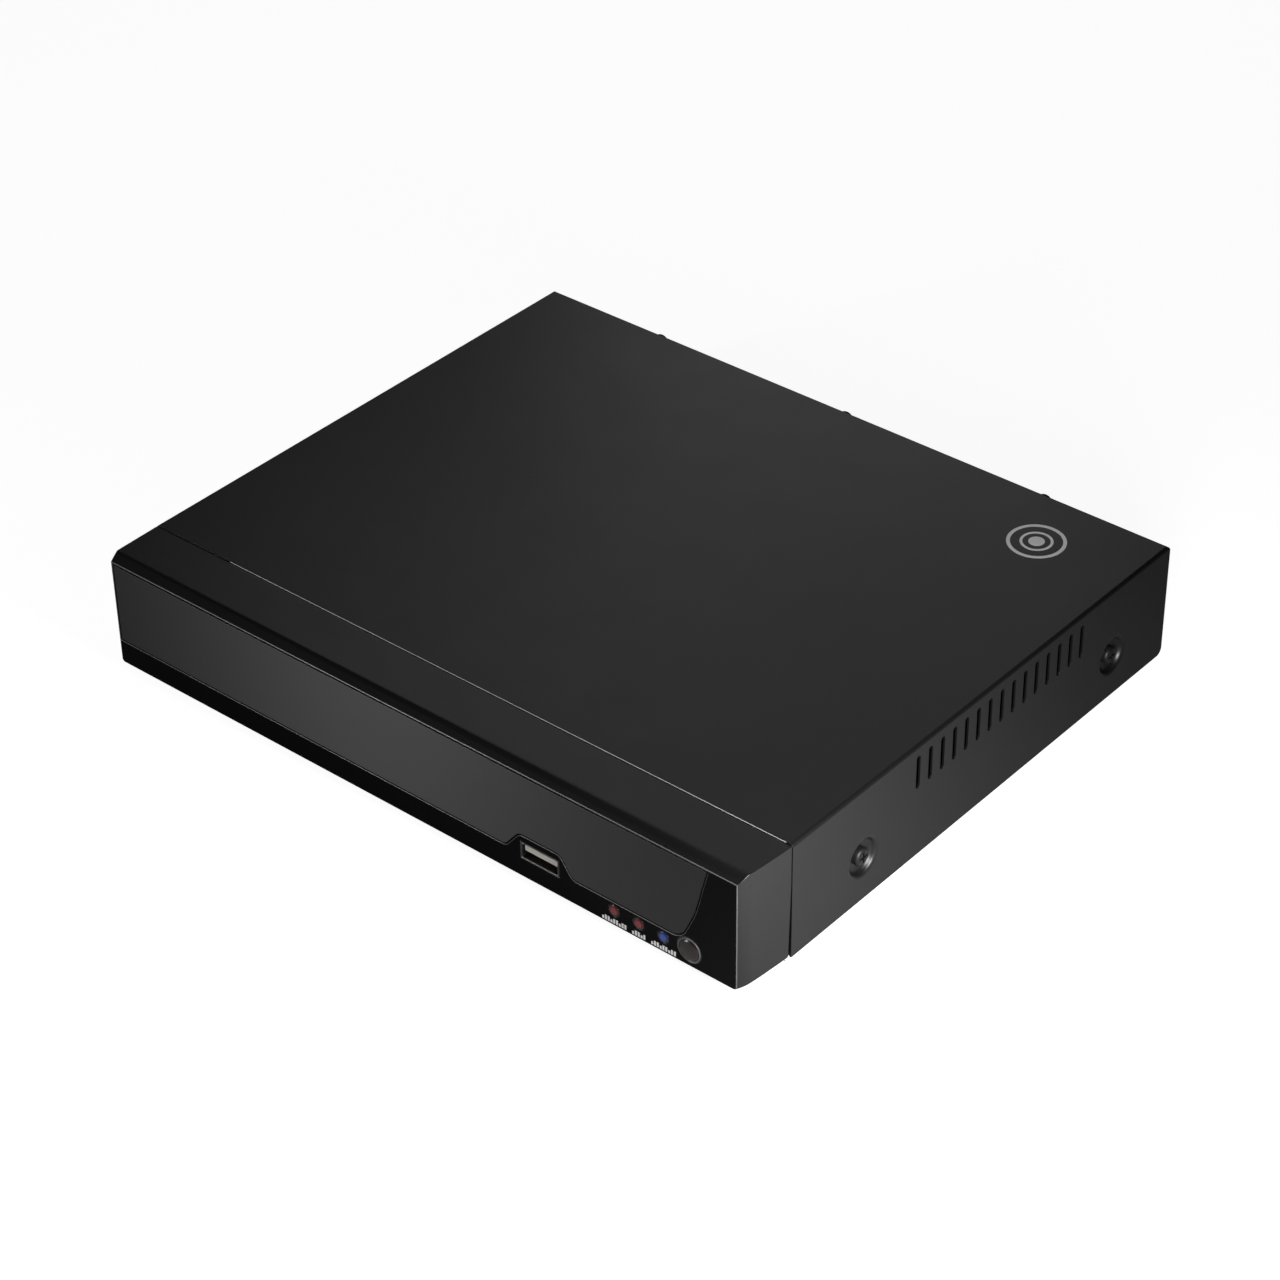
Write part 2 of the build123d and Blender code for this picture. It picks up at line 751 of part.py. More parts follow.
def usb_socket(x, z, mouth, back, levels):
    """Metal shell and tongues of a USB socket with its mouth towards the side where mouth lies."""
    out = math.copysign(1, mouth - back)
    height = usb_tall if levels == 1 else stack_height
    shell = middle_slab(x, usb_width, sorted((mouth, back)), (z - height / 2, z + height / 2))
    tongues = []
    room = usb_tall - 2 * usb_skin
    pitch = (height - usb_tall) / max(levels - 1, 1)
    for level in range(levels):
        middle = z - height / 2 + usb_tall / 2 + level * pitch
        deep = sorted((mouth + out, back + out * usb_floor))
        low_high = (middle - room / 2, middle + room / 2)
        shell -= middle_slab(x, usb_width - 2 * usb_skin, deep, low_high)
        tongue_y = sorted((mouth - out * usb_tongue_back, back + out * usb_floor))
        tongue_high = middle + room / 2 - usb_tongue_drop
        wide = usb_width - 2 * (usb_skin + usb_tongue_side)
        tongues.append(middle_slab(x, wide, tongue_y, (tongue_high - usb_tongue, tongue_high)))
    return shell, together(tongues)


def front_board():
    """The small board that carries the front socket, lamps and receiver."""
    wide = (front_board_low_x, front_board_high_x)
    thick = (front_board_y, front_board_y + board_thickness)
    board = slab(wide, thick, (front_board_low_z, front_board_high_z))
    for x in front_board_screws_x:
        start = (x, front_board_y - 1, front_board_screw_z)
        board -= rod(small_thread / 2 + screw_gap, start, (0, 1, 0), board_thickness + 2)
    return board


def lamp(x):
    """One round lamp from the board to just proud of the face."""
    tip = front_y - lamp_proud
    body = rod(lamp_diameter / 2, (x, tip, lamp_z), (0, 1, 0), front_board_y - tip)
    body = fillet(body.edges().sort_by(Axis.Y)[0], lamp_diameter / 3)
    rim = (x, front_board_y - lamp_rim_thickness, lamp_z)
    return body + rod(lamp_diameter / 2 + lamp_rim, rim, (0, 1, 0), lamp_rim_thickness)


def ir_lens():
    """The domed round window with a flange behind the bezel's wall."""
    radius = lens_diameter / 2
    sphere = (radius**2 + lens_dome**2) / (2 * lens_dome)
    body = rod(radius, (lens_x, front_y - lens_dome, lens_z), (0, 1, 0), lens_dome + bezel_wall)
    body &= Pos(lens_x, front_y - lens_dome + sphere, lens_z) * Sphere(sphere)
    body += rod(radius, (lens_x, front_y, lens_z), (0, 1, 0), bezel_wall)
    half = lens_flange_height / 2
    deep = (face_in_y, face_in_y + lens_flange)
    flange = middle_slab(lens_x, lens_diameter + 2 * lens_flange, deep, (lens_z - half, lens_z + half))
    return body + flange


def ir_receiver():
    """The receiver block behind the lens, standing on the front board."""
    deep = (front_board_y - receiver_depth, front_board_y)
    body = middle_slab(lens_x, receiver_width, deep, (lens_z - receiver_low, lens_z + receiver_high))
    return body + Pos(lens_x, deep[0], lens_z) * Sphere(receiver_eye)


# ---- main board ----
def on_board(x, y, width, depth, height):
    """A block that stands on the main board, by its centre."""
    return Pos(x, y, board_z) * Box(width, depth, height, align=LOW)


def main_board():
    """The bare circuit board."""
    low = board_z - board_thickness
    board = slab((board_low_x, board_high_x), (board_low_y, board_high_y), (low, board_z))
    for x, y in standoffs:
        board -= rod(thread / 2 + screw_gap, (x, y, low - 1), (0, 0, 1), board_thickness + 2)
    return board


def board_standoffs():
    """Hexagonal pillars pressed into the tray, drilled for the board screws."""
    pillar = extrude(RegularPolygon(standoff_across / 2, 6, major_radius=False), amount=standoff_height)
    pillar += Cylinder(standoff_root, sheet, align=HIGH)
    pillar -= Pos(0, 0, 0.6) * Cylinder(thread / 2 + lay_gap, standoff_height, align=LOW)
    return together([Pos(x, y, floor_z) * pillar for x, y in standoffs])


def heat_sink():
    """Finned block on the processor."""
    sink = on_board(chip_x, chip_y, heat_sink_size, heat_sink_size, heat_sink_base)
    span = heat_sink_size - heat_sink_fin
    for fin in range(heat_sink_fins):
        x = chip_x - span / 2 + span * fin / (heat_sink_fins - 1)
        sink += on_board(x, chip_y, heat_sink_fin, heat_sink_size, heat_sink_height)
    return Pos(0, 0, chip_height) * sink


def capacitors():
    """Round capacitors beside the power inlet."""
    can = Cylinder(capacitor_radius, capacitor_height, align=LOW)
    can = fillet(can.edges().sort_by(Axis.Z)[-1], capacitor_radius / 5)
    start = board_low_x + parts_left
    y = board_high_y - capacitor_row
    return together([Pos(start + n * capacitor_pitch, y, board_z) * can for n in range(capacitor_count)])


def inductors():
    """Square power coils in a row."""
    coil = Box(inductor_size, inductor_size, inductor_height, align=LOW)
    coil = fillet(coil.edges().filter_by(Axis.Z), inductor_size / 4)
    start = board_low_x + parts_left
    y = board_low_y + inductor_row
    return together([Pos(start + n * inductor_pitch, y, board_z) * coil for n in range(inductor_count)])


def battery_holder():
    """Tray that holds the coin cell over the board."""
    holder = Cylinder(cell_diameter / 2 + holder_wall, holder_height, align=LOW)
    holder -= Pos(0, 0, holder_floor) * Cylinder(cell_diameter / 2 + 0.2, holder_height, align=LOW)
    holder -= Pos(0, -cell_diameter / 2 - 2, 2.6) * Box(9, 8, 6, align=LOW)
    return Pos(cell_x, cell_y, board_z) * holder


def save_main_board():
    """Everything that stands on the main board except the rear sockets."""
    save("main_board", main_board())
    save("board_standoffs", board_standoffs())
    tops = [(x, y, board_z) for x, y in standoffs]
    board_heads = screws(tops, (0, 0, 1), thread, short_screw, head_height)
    seats = [(x, y, base_z + disk_lift) for x, y in disk_screws]
    save("tray_screws", together([board_heads, screws(seats, (0, 0, -1), thread, short_screw, head_height)]))
    save("processor", on_board(chip_x, chip_y, processor_size, processor_size, chip_height))
    save("heat_sink", heat_sink())
    chips = [on_board(chip_x + 26, chip_y + s * 8, 13, 9, 1.1) for s in (-1, 1)]
    chips.append(on_board(chip_x - 24, chip_y + 12, 8, 6, 1.8))
    chips.append(on_board(lan_x, board_high_y - lan_body_depth - 6, 14, 9, 5.5))
    save("board_chips", together(chips))
    save("battery_holder", battery_holder())
    cell = fillet(Cylinder(cell_diameter / 2, cell_height, align=LOW).edges(), 0.4)
    save("clock_battery", Pos(cell_x, cell_y, board_z + holder_floor) * cell)
    save("capacitors", capacitors())
    save("inductors", inductors())
    can = Cylinder(buzzer_radius, buzzer_height, align=LOW)
    can -= Pos(0, 0, buzzer_height) * Cylinder(buzzer_radius / 5, buzzer_height / 2)
    save("buzzer", Pos(buzzer_x, buzzer_y, board_z) * can)
    headers = [on_board(x, y, 8, 6, header_height) for x, y in (front_header, fan_header)]
    headers.append(on_board(*data_header, 17, 6, header_height))
    headers.append(on_board(*power_header, 12, 8, header_height))
    save("board_headers", together(headers))


# ---- rear sockets ----
def bnc_set():
    """Block, bayonet barrels and insulators of the video inputs; the centre contacts are handed back."""
    wide = (bnc_x[0] - bnc_pitch / 2, bnc_x[-1] + bnc_pitch / 2)
    deep = (wall_in_y - body_gap - bnc_body_depth, wall_in_y - body_gap)
    tall = (board_z, bnc_z[-1] + bnc_low)
    housing = slab(wide, deep, tall)
    shells, insulators, pins = [], [], []
    lug_y = tip_y - bnc_lug_place
    for x, z in bnc_places:
        start = (x, deep[1] - socket_root, z)
        housing -= rod(bnc_radius, start, (0, 1, 0), 2 * socket_root)
        barrel = ring(bnc_radius, bnc_bore, start, (0, 1, 0), tip_y - start[1])
        barrel += rod(bnc_bore + 0.1, start, (0, 1, 0), 1)
        for side in (-1, 1):
            lug = (x + side * (bnc_radius - bnc_lug / 3), lug_y, z)
            barrel += rod(bnc_lug, lug, (side, 0, 0), bnc_lug_reach + bnc_lug / 3)
        insulator_end = tip_y - bnc_insulator_drop
        inner = (x, start[1] + 1, z)
        insulator = rod(bnc_insulator, inner, (0, 1, 0), insulator_end - inner[1])
        seat = (x, insulator_end - bnc_contact_length - fit_gap, z)
        insulator -= rod(bnc_contact + bearing_gap, seat, (0, 1, 0), bnc_contact_length + 1)
        pin = ring(bnc_contact, bnc_contact_bore, seat, (0, 1, 0), bnc_contact_length)
        shells.append(barrel)
        insulators.append(insulator)
        pins.append(pin)
    save("bnc_housing", housing)
    save("bnc_shells", together(shells))
    save("bnc_insulators", together(insulators))
    return pins


def rca_set():
    """Block, sleeves and coloured inserts of the sound sockets."""
    deep = (wall_in_y - body_gap - rca_body_depth, wall_in_y - body_gap)
    housing = middle_slab(rca_x, rca_body_width, deep, (board_z, rca_z[-1] + rca_low))
    sleeves, inserts = [], []
    for z in rca_z:
        start = (rca_x, deep[1] - socket_root, z)
        housing -= rod(rca_collar, start, (0, 1, 0), 2 * socket_root)
        length = wall_y + rca_root + rca_reach - start[1]
        sleeve = ring(rca_radius, rca_bore, start, (0, 1, 0), length)
        sleeve += ring(rca_collar, rca_bore, start, (0, 1, 0), length - rca_reach)
        insert = rod(rca_bore, start, (0, 1, 0), length - rca_insert_drop)
        insert -= rod(rca_contact, (rca_x, start[1] + 1, z), (0, 1, 0), length)
        sleeves.append(sleeve)
        inserts.append(insert)
    save("rca_housing", housing)
    save("rca_sleeves", together(sleeves))
    save("rca_inserts", together(inserts))


def vga_outline(grow):
    """The rounded D of the monitor socket's shell."""
    half = vga_shell_width / 2 + grow
    tall = vga_shell_height / 2 + grow
    narrow = half - vga_slant
    corners = [(-narrow, -tall), (narrow, -tall), (half, tall), (-half, tall)]
    return make_face(FilletPolyline(*corners, radius=vga_corner + grow, close=True))


def vga_set():
    """Body with its contact face, D-shaped shell and two hexagonal jackscrews."""
    plate = (wall_in_y - vga_fit - vga_plate, wall_in_y - vga_fit)
    tall = (board_z, board_z + vga_plate_height)
    body = middle_slab(vga_x, vga_plate_width, (plate[0] - vga_body_depth, plate[0]), tall)
    to_rear = Pos(vga_x, plate[1], vga_z) * Rot(-90, 0, 0)
    reach = wall_y + vga_reach - plate[1]
    inner = vga_outline(-vga_skin - vga_fit)
    core = extrude(to_rear * inner, amount=reach - vga_plate)
    core += extrude(to_rear * inner, amount=-vga_plate - socket_root)
    for row, offset_x in ((1, 0), (0, vga_contact_pitch / 2), (-1, 0)):
        for place in range(-2, 3):
            x = vga_x + place * vga_contact_pitch + offset_x
            start = (x, plate[1] + reach - vga_reach / 2 - vga_plate, vga_z + row * vga_row_pitch)
            core -= rod(vga_contact, start, (0, 1, 0), vga_reach)
    shell = middle_slab(vga_x, vga_plate_width, plate, tall)
    shell += extrude(to_rear * vga_outline(-vga_fit), amount=reach)
    shell -= extrude(to_rear * inner, amount=reach + 1)
    shell -= extrude(to_rear * inner, amount=-socket_root)
    nuts = []
    for side in (-1, 1):
        x = vga_x + side * vga_screw_spacing / 2
        room = vga_screw_radius + lay_gap
        shell -= rod(room, (x, plate[0] - 1, vga_z), (0, 1, 0), vga_plate + 2)
        body -= rod(room, (x, plate[0] - vga_body_depth + 3, vga_z), (0, 1, 0), vga_body_depth)
        head = RegularPolygon(vga_nut, 6, major_radius=False)
        nut = extrude(Pos(x, wall_y, vga_z) * Rot(-90, 0, 0) * head, amount=vga_nut_length)
        shank = (x, plate[0] - vga_nut_length, vga_z)
        nut += rod(vga_screw_radius, shank, (0, 1, 0), wall_y - shank[1])
        nut -= rod(vga_nut_bore, (x, wall_y, vga_z), (0, 1, 0), vga_nut_length + 1)
        nuts.append(nut)
    save("vga_body", body + core)
    save("vga_shell", shell)
    save("vga_jackscrews", together(nuts))


def hdmi_outline(grow):
    """The flat socket's outline with its two slanted lower corners."""
    half = hdmi_width / 2 + grow
    tall = hdmi_height / 2 + grow
    corners = [(-half, tall), (-half, -tall + hdmi_slant_height), (-half + hdmi_slant_width, -tall)]
    corners += [(-x, z) for x, z in reversed(corners)]
    return make_face(Polyline(*corners, close=True))


def hdmi_set():
    """Metal shell and contact tongue of the digital monitor socket."""
    z = board_z + hdmi_height / 2
    mouth = Pos(hdmi_x, mouth_y, z) * Rot(90, 0, 0)
    shell = extrude(mouth * hdmi_outline(0), amount=hdmi_body_depth)
    shell -= extrude(mouth * hdmi_outline(-hdmi_skin), amount=hdmi_body_depth - 1)
    deep = (mouth_y - hdmi_body_depth + 1, mouth_y - 1)
    tall = (z - hdmi_tongue_low, z + hdmi_tongue_high)
    save("hdmi_shell", shell)
    save("hdmi_tongue", middle_slab(hdmi_x, hdmi_tongue_width, deep, tall))


def lan_set():
    """Network socket with its latch notch, and its eight spring contacts."""
    deep = (mouth_y - lan_body_depth, mouth_y)
    jack = middle_slab(lan_x, lan_width, deep, (board_z, board_z + lan_height))
    room = (mouth_y - lan_room_depth, mouth_y + 1)
    low, high = board_z + lan_room_low, board_z + lan_room_high
    jack -= middle_slab(lan_x, lan_room_width, room, (low, high))
    jack -= middle_slab(lan_x, lan_latch_width, room, (board_z + lan_latch_low, low + 0.1))
    wire = (mouth_y - lan_room_depth, mouth_y - 3)
    contacts = []
    for place in range(lan_contact_count):
        x = lan_x + (place - (lan_contact_count - 1) / 2) * lan_contact_pitch
        contacts.append(middle_slab(x, lan_contact_width, wire, (high - 1.2, high - 0.4)))
    save("lan_jack", jack)
    save("lan_contacts", together(contacts))


def dc_set():
    """Power inlet; its centre pin is handed back."""
    body = middle_slab(dc_x, dc_width, (mouth_y - dc_body_depth, mouth_y), (board_z, board_z + dc_height))
    start = (dc_x, mouth_y - dc_bore_depth, dc_z)
    body -= rod(dc_bore, start, (0, 1, 0), dc_bore_depth + 1)
    pin = rod(dc_pin_radius, start, (0, 1, 0), dc_pin_length)
    save("dc_jack", body)
    return fillet(pin.edges().sort_by(Axis.Y)[-1], dc_pin_radius / 2)


# ---- fan ----
def fan():
    """Frame, motor coils and rotor, blowing through the rear wall."""
    half = fan_size / 2
    middle = Pos(fan_x, 0, fan_z)
    frame = slab((-half, half), (fan_y, wall_in_y), (-half, half))
    frame = fillet(frame.edges().filter_by(Axis.Y), 2.5)
    frame -= rod(fan_bore, (0, fan_y - 1, 0), (0, 1, 0), fan_thickness + 2)
    frame += rod(fan_hub - 0.5, (0, fan_y, 0), (0, 1, 0), fan_floor)
    for turn in (90, 210, 330):
        arm = slab((fan_hub - 1, fan_bore + 0.5), (fan_y, fan_y + fan_floor), (-fan_arm / 2, fan_arm / 2))
        frame += Rot(0, turn, 0) * arm
    bearing_top = fan_y + fan_bearing_height
    bore = fan_shaft + bearing_gap
    seat_y = fan_y + fan_floor - 0.1
    frame += ring(fan_bearing, bore, (0, seat_y, 0), (0, 1, 0), bearing_top - seat_y)
    frame -= rod(bore, (0, fan_y + fan_floor - 0.5, 0), (0, 1, 0), 3)
    for a in (-1, 1):
        for b in (-1, 1):
            start = (a * fan_hole_spacing / 2, fan_y - 1, b * fan_hole_spacing / 2)
            frame -= rod(thread / 2 + screw_gap, start, (0, 1, 0), fan_thickness + 2)
    coil_y = seat_y + 0.5
    coils = ring(fan_coil, fan_bearing + 0.1, (0, coil_y, 0), (0, 1, 0), bearing_top - coil_y - 0.7)
    slot = slab((fan_coil * 0.6, fan_coil + 1), (fan_y, bearing_top), (-fan_coil_slot / 2, fan_coil_slot / 2))
    for turn in (0, 90, 180, 270):
        coils -= Rot(0, turn, 0) * slot
    cup_low, cup_high = fan_y + fan_cup_lift, wall_in_y - fan_cup_gap
    rotor = rod(fan_hub, (0, cup_low, 0), (0, 1, 0), cup_high - cup_low)
    rotor -= rod(fan_hub - fan_cup_wall, (0, cup_low - 1, 0), (0, 1, 0), cup_high - cup_low)
    rotor += rod(fan_shaft, (0, seat_y, 0), (0, 1, 0), cup_high - seat_y - 0.4)
    reach = fan_bore - fan_tip_gap
    sweep_room = ring(reach, fan_hub - 0.3, (0, cup_low, 0), (0, 1, 0), cup_high - cup_low)
    for blade in range(fan_blades):
        leaf = Rot(fan_blade_angle, 0, 0) * Box(reach, 2 * fan_thickness, fan_blade)
        leaf = Pos(reach / 2 + 2, (cup_low + cup_high) / 2, 0) * leaf
        rotor += Rot(0, blade * 360 / fan_blades, 0) * (leaf & sweep_room)
    save("fan_frame", middle * frame)
    save("fan_coils", middle * coils)
    save("fan_rotor", middle * rotor)
    heads = [(x, wall_y, z) for x, z in fan_hole_places()]
    save("fan_screws", screws(heads, (0, 1, 0), thread, sheet + fan_thickness - 1, 1.8))


# ---- hard disk ----
def disk_room():
    """The chamber inside the disk's casting."""
    top = disk_top - disk_lid_thickness
    circle = rod(platter_radius + 1.0, (spindle_x, disk_y, disk_floor), (0, 0, 1), top - disk_floor)
    low_x = spindle_x + bay_place
    across = disk_width / 2 - disk_wall - 1
    bay = slab((low_x, disk_high_x - bay_end), (disk_y - across, disk_y + across), (disk_floor, top))
    bay = fillet(bay.edges().filter_by(Axis.Z), 5)
    return circle + bay


def disk_base():
    """Casting with the chamber, the board recess and the two fixed shafts."""
    wide = (disk_low_x, disk_high_x)
    deep = (disk_low_y, disk_low_y + disk_width)
    base = slab(wide, deep, (disk_z, disk_top - disk_lid_thickness))
    base = fillet(base.edges().filter_by(Axis.Z), disk_corner)
    base -= disk_room()
    board = (disk_high_x - 2 * disk_board_inset - disk_board_length, disk_high_x + 1)
    across = disk_board_width / 2 + disk_board_inset
    base -= slab(board, (disk_y - across, disk_y + across), (disk_z - 1, disk_z + disk_board_room))
    shaft_top = platter_levels[-1] + platter_thickness + 1.5
    base += rod(spindle_radius, (spindle_x, disk_y, disk_floor - 1), (0, 0, 1), shaft_top - disk_floor + 1)
    post_top = arm_levels()[-1] + arm_thickness + 0.8
    base += rod(pivot_radius, (pivot_x, pivot_y, disk_floor - 1), (0, 0, 1), post_top - disk_floor + 1)
    for x, y in disk_screws:
        base -= rod(thread / 2 + lay_gap, (x, y, disk_z - 1), (0, 0, 1), disk_screw_depth + 1)
    for x, y in lid_screw_places():
        deep = (x, y, disk_top - disk_screw_depth - 1)
        base -= rod(small_thread / 2 + lay_gap, deep, (0, 0, 1), disk_screw_depth + 2)
    return base


def lid_screw_places():
    """The six lid screws, in the casting's thick corners and sides."""
    inset = 3.2
    low_y, high_y = disk_low_y + inset, disk_low_y + disk_width - inset
    corners = [(x, y) for x in (disk_low_x + 4, disk_high_x - 3.4) for y in (low_y, high_y)]
    return corners + [(spindle_x + 30.0, y) for y in (low_y, high_y)]


def arm_levels():
    """Undersides of the arms: below, between and above the disks."""
    pitch = platter_thickness + platter_gap
    first = platter_low - (platter_gap + arm_thickness) / 2
    return [first + n * pitch for n in range(3)]


def head_arms():
    """Pivot block with three tapered arms and their heads, parked beside the disks."""
    levels = arm_levels()
    low, high = levels[0], levels[-1] + arm_thickness
    body = Cylinder(arm_block, high - low, align=LOW)
    body = Pos(0, 0, low) * body
    outline = Polyline((5, -6.5), (arm_length - 3, -2), (arm_length, -1.2), (arm_length, 1.2), (5, 6.5), close=True)
    for level in levels:
        body += Pos(0, 0, level) * extrude(make_face(outline), amount=arm_thickness)
    body -= Pos(0, 0, low - 1) * Cylinder(pivot_radius + bearing_gap, high - low + 2, align=LOW)
    return Pos(pivot_x, pivot_y, 0) * Rot(0, 0, arm_rest_angle) * body


def sector(outer, inner, low_angle, high_angle, low, high):
    """A flat piece of a ring between two angles."""
    wide = CenterArc((0, 0), outer, low_angle, high_angle - low_angle)
    near = CenterArc((0, 0), inner, low_angle, high_angle - low_angle)
    face = make_face([wide, near, Line(near @ 0, wide @ 0), Line(near @ 1, wide @ 1)])
    return Pos(0, 0, low) * extrude(face, amount=high - low)


def hard_disk():
    """Every piece of the disk."""
    middle = Pos(pivot_x, pivot_y, 0)
    levels = arm_levels()
    coil_z = levels[1] + arm_thickness / 2
    coil_angle = arm_rest_angle + 180
    low_angle, high_angle = coil_angle - coil_half_angle, coil_angle + coil_half_angle
    coil = sector(coil_outer, coil_inner, low_angle, high_angle, coil_z - coil_half, coil_z + coil_half)
    coil -= sector(21.0, 14.0, coil_angle - 10, coil_angle + 10, coil_z - 2, coil_z + 2)
    first, last = coil_angle - magnet_spare, coil_angle + head_swing_range + magnet_spare
    near = coil_half + magnet_gap
    magnet_top = coil_z + near + magnet_thickness
    below = sector(magnet_outer, magnet_inner, first, last, disk_floor, coil_z - near)
    above = sector(magnet_outer, magnet_inner, first, last, coil_z + near, magnet_top)
    post = sector(magnet_outer + 4, magnet_outer, last - 34, last - 20, disk_floor, magnet_top)
    disks = []
    for level in platter_levels:
        disks.append(ring(platter_radius, hub_radius, (spindle_x, disk_y, level), (0, 0, 1), platter_thickness))
    hub_low = disk_floor + hub_lift
    clamp_low = platter_levels[-1] + platter_thickness
    hub = rod(hub_radius, (spindle_x, disk_y, hub_low), (0, 0, 1), clamp_low - hub_low)
    collar = hub_radius + hub_collar
    hub += ring(collar, hub_radius - 1, (spindle_x, disk_y, platter_low - 2), (0, 0, 1), 2)
    between = platter_low + platter_thickness
    hub += ring(collar, hub_radius - 1, (spindle_x, disk_y, between), (0, 0, 1), platter_gap)
    bore = spindle_radius + bearing_gap
    hub -= rod(bore, (spindle_x, disk_y, hub_low - 1), (0, 0, 1), clamp_low - hub_low + 2)
    clamp_at = (spindle_x, disk_y, clamp_low)
    clamp = ring(hub_radius + 2, spindle_radius + 1, clamp_at, (0, 0, 1), clamp_thickness)
    lid_low = disk_top - disk_lid_thickness
    wide = (disk_low_x + disk_lid_inset, disk_high_x - disk_lid_inset)
    across = disk_width / 2 - disk_lid_inset
    lid = slab(wide, (disk_y - across, disk_y + across), (lid_low, disk_top))
    lid = fillet(lid.edges().filter_by(Axis.Z), disk_corner)
    for x, y in lid_screw_places():
        lid -= rod(small_thread / 2 + screw_gap, (x, y, lid_low - 1), (0, 0, 1), 3)
    board_end = disk_high_x - disk_board_inset
    board_face = disk_z + 1 + board_thickness
    half = disk_board_width / 2
    board = slab((board_end - disk_board_length, board_end), (disk_y - half, disk_y + half), (disk_z + 1, board_face))
    for x, y in disk_screws:
        board -= rod(thread / 2 * head_ratio, (x, y, disk_z), (0, 0, 1), disk_board_room)
    board += slab(disk_socket_x, disk_socket_y, (board_face, disk_z + disk_board_room - 0.1))
    save("disk_base", disk_base())
    save("disk_lid", lid)
    heads = [(x, y, disk_top) for x, y in lid_screw_places()]
    save("disk_lid_screws", screws(heads, (0, 0, 1), small_thread, disk_screw_depth, 1.0))
    save("disk_board", board)
    save("disk_hub", hub)
    save("disk_platters", together(disks))
    save("disk_clamp", clamp)
    save("head_arms", head_arms())
    save("voice_coil", middle * coil)
    save("disk_magnets", middle * (below + above + post))


# ---- places on the main board and of the leads ----
chip_x = (board_low_x + board_high_x) / 2 + 14
chip_y = board_low_y + 26.0
chip_height = 2.0
cell_x = chip_x - 42.0
cell_y = board_low_y + 22.0
buzzer_x = board_low_x + 58.0
buzzer_y = board_low_y + 40.0
header_height = 7.0
front_header = (board_high_x - 8.0, board_low_y + 20.0)
fan_header = (board_high_x - 8.0, board_high_y - 22.0)
data_header = (board_high_x - 26.0, board_low_y + 8.0)
power_header = (board_high_x - 48.0, board_low_y + 8.0)
disk_socket_x = (disk_high_x - 7.0, disk_high_x - 1.0)
disk_socket_y = (disk_y - 34.0, disk_y + 8.0)
plug_z = disk_z + 3.35
data_plug_y = disk_y - 26.0
power_plug_y = disk_y - 4.0


def disk_lead(plug_y, plug_wide, header, header_wide, radius, reach):
    """A lead with a flat plug on the disk and an upright plug on a board header."""
    wide = (plug_y - plug_wide / 2, plug_y + plug_wide / 2)
    plug = slab((disk_high_x + 0.3, disk_high_x + 13), wide, (plug_z - 2.6, plug_z + 2.6))
    header_top = board_z + header_height
    x, y = header
    upright = Pos(x, y, header_top) * Box(header_wide, 5.6, 7, align=LOW)
    bend = disk_high_x + reach
    high = board_z + 23
    points = [
        (disk_high_x + 12.5, plug_y, plug_z),
        (bend, plug_y, plug_z),
        (bend + 6, (plug_y + y) / 2, plug_z + 4),
        (x + 4, y - 14, high),
        (x, y, high),
        (x, y, header_top + 6.5),
    ]
    return plug + upright + lead(points, [8, 8, 6, 4.5], radius)


def leads():
    """The four internal leads, each with its moulded plugs."""
    save("disk_data_lead", disk_lead(data_plug_y, 15, data_header, 15, data_lead_radius, 40))
    save("disk_power_lead", disk_lead(power_plug_y, 22, power_header, 11, power_lead_radius, 26))
    x, y = front_header
    top = board_z + header_height
    start_x = front_lead_x
    start_y = front_board_y + board_thickness
    start_z = base_z + 12.5
    plug = middle_slab(start_x, 9, (start_y, start_y + 5), (start_z - 2.5, start_z + 2.5))
    points = [
        (start_x, start_y + 4.5, start_z),
        (start_x, start_y + 30, start_z),
        (start_x + 6, start_y + 70, start_z + 2),
        (x + 3, y - 12, top + 9),
        (x, y, top + 9),
        (x, y, top + 3.5),
    ]
    upright = Pos(x, y, top) * Box(7.4, 5, 4, align=LOW)
    save("front_lead", plug + upright + lead(points, [12, 12, 5, 3], thin_lead_radius))
    x, y = fan_header
    side = fan_x - fan_size / 2 - 0.3
    points = [
        (side, fan_y + 5, fan_z - 6),
        (side - 4, fan_y + 5, fan_z - 6),
        (side - 4.4, fan_y - 6, fan_z - 3),
        (x + 1, y + 1, top + 8),
        (x, y, top + 3.5),
    ]
    upright = Pos(x, y, top) * Box(7.4, 5, 4, align=LOW)
    save("fan_lead", upright + lead(points, [1.6, 2.5, 1.6], thin_lead_radius * 0.8))


# ---- build ----
def cover_screws():
    """The equal screws of the cover: two in each side and three in the rear lip."""
    one = cross_screw(thread, short_screw, thread / 2 * head_ratio, head_height)
    seats = [Plane(origin=(x, rear_y, lip_screw_z), z_dir=(0, 1, 0)) for x in lip_screws_x]
    for side in (-1, 1):
        seat_x = side * (side_x - recess_depth)
        seats += [Plane(origin=(seat_x, y, side_screw_z), z_dir=(side, 0, 0)) for y in side_screw_y]
    return together([seat * one for seat in seats])


def save_front():
    """The bezel, its inlay and everything on the front board."""
    save("front_bezel", front_bezel())
    save("front_window", front_window())
    save("red_lamps", together([lamp(x) for x in lamp_x[:2]]))
    save("blue_lamp", lamp(lamp_x[2]))
    save("ir_lens", ir_lens())
    save("ir_receiver", ir_receiver())
    save("front_board", front_board())
    fixings = [(x, front_board_y + board_thickness, front_board_screw_z) for x in front_board_screws_x]
    save("front_board_screws", screws(fixings, (0, 1, 0), small_thread, front_screw_length, 1.4))


def save_rear_sockets():
    """The sockets behind the rear wall, and the metal pins that some of them share."""
    pins = bnc_set()
    pins.append(dc_set())
    save("socket_pins", together(pins))
    rca_set()
    vga_set()
    hdmi_set()
    lan_set()


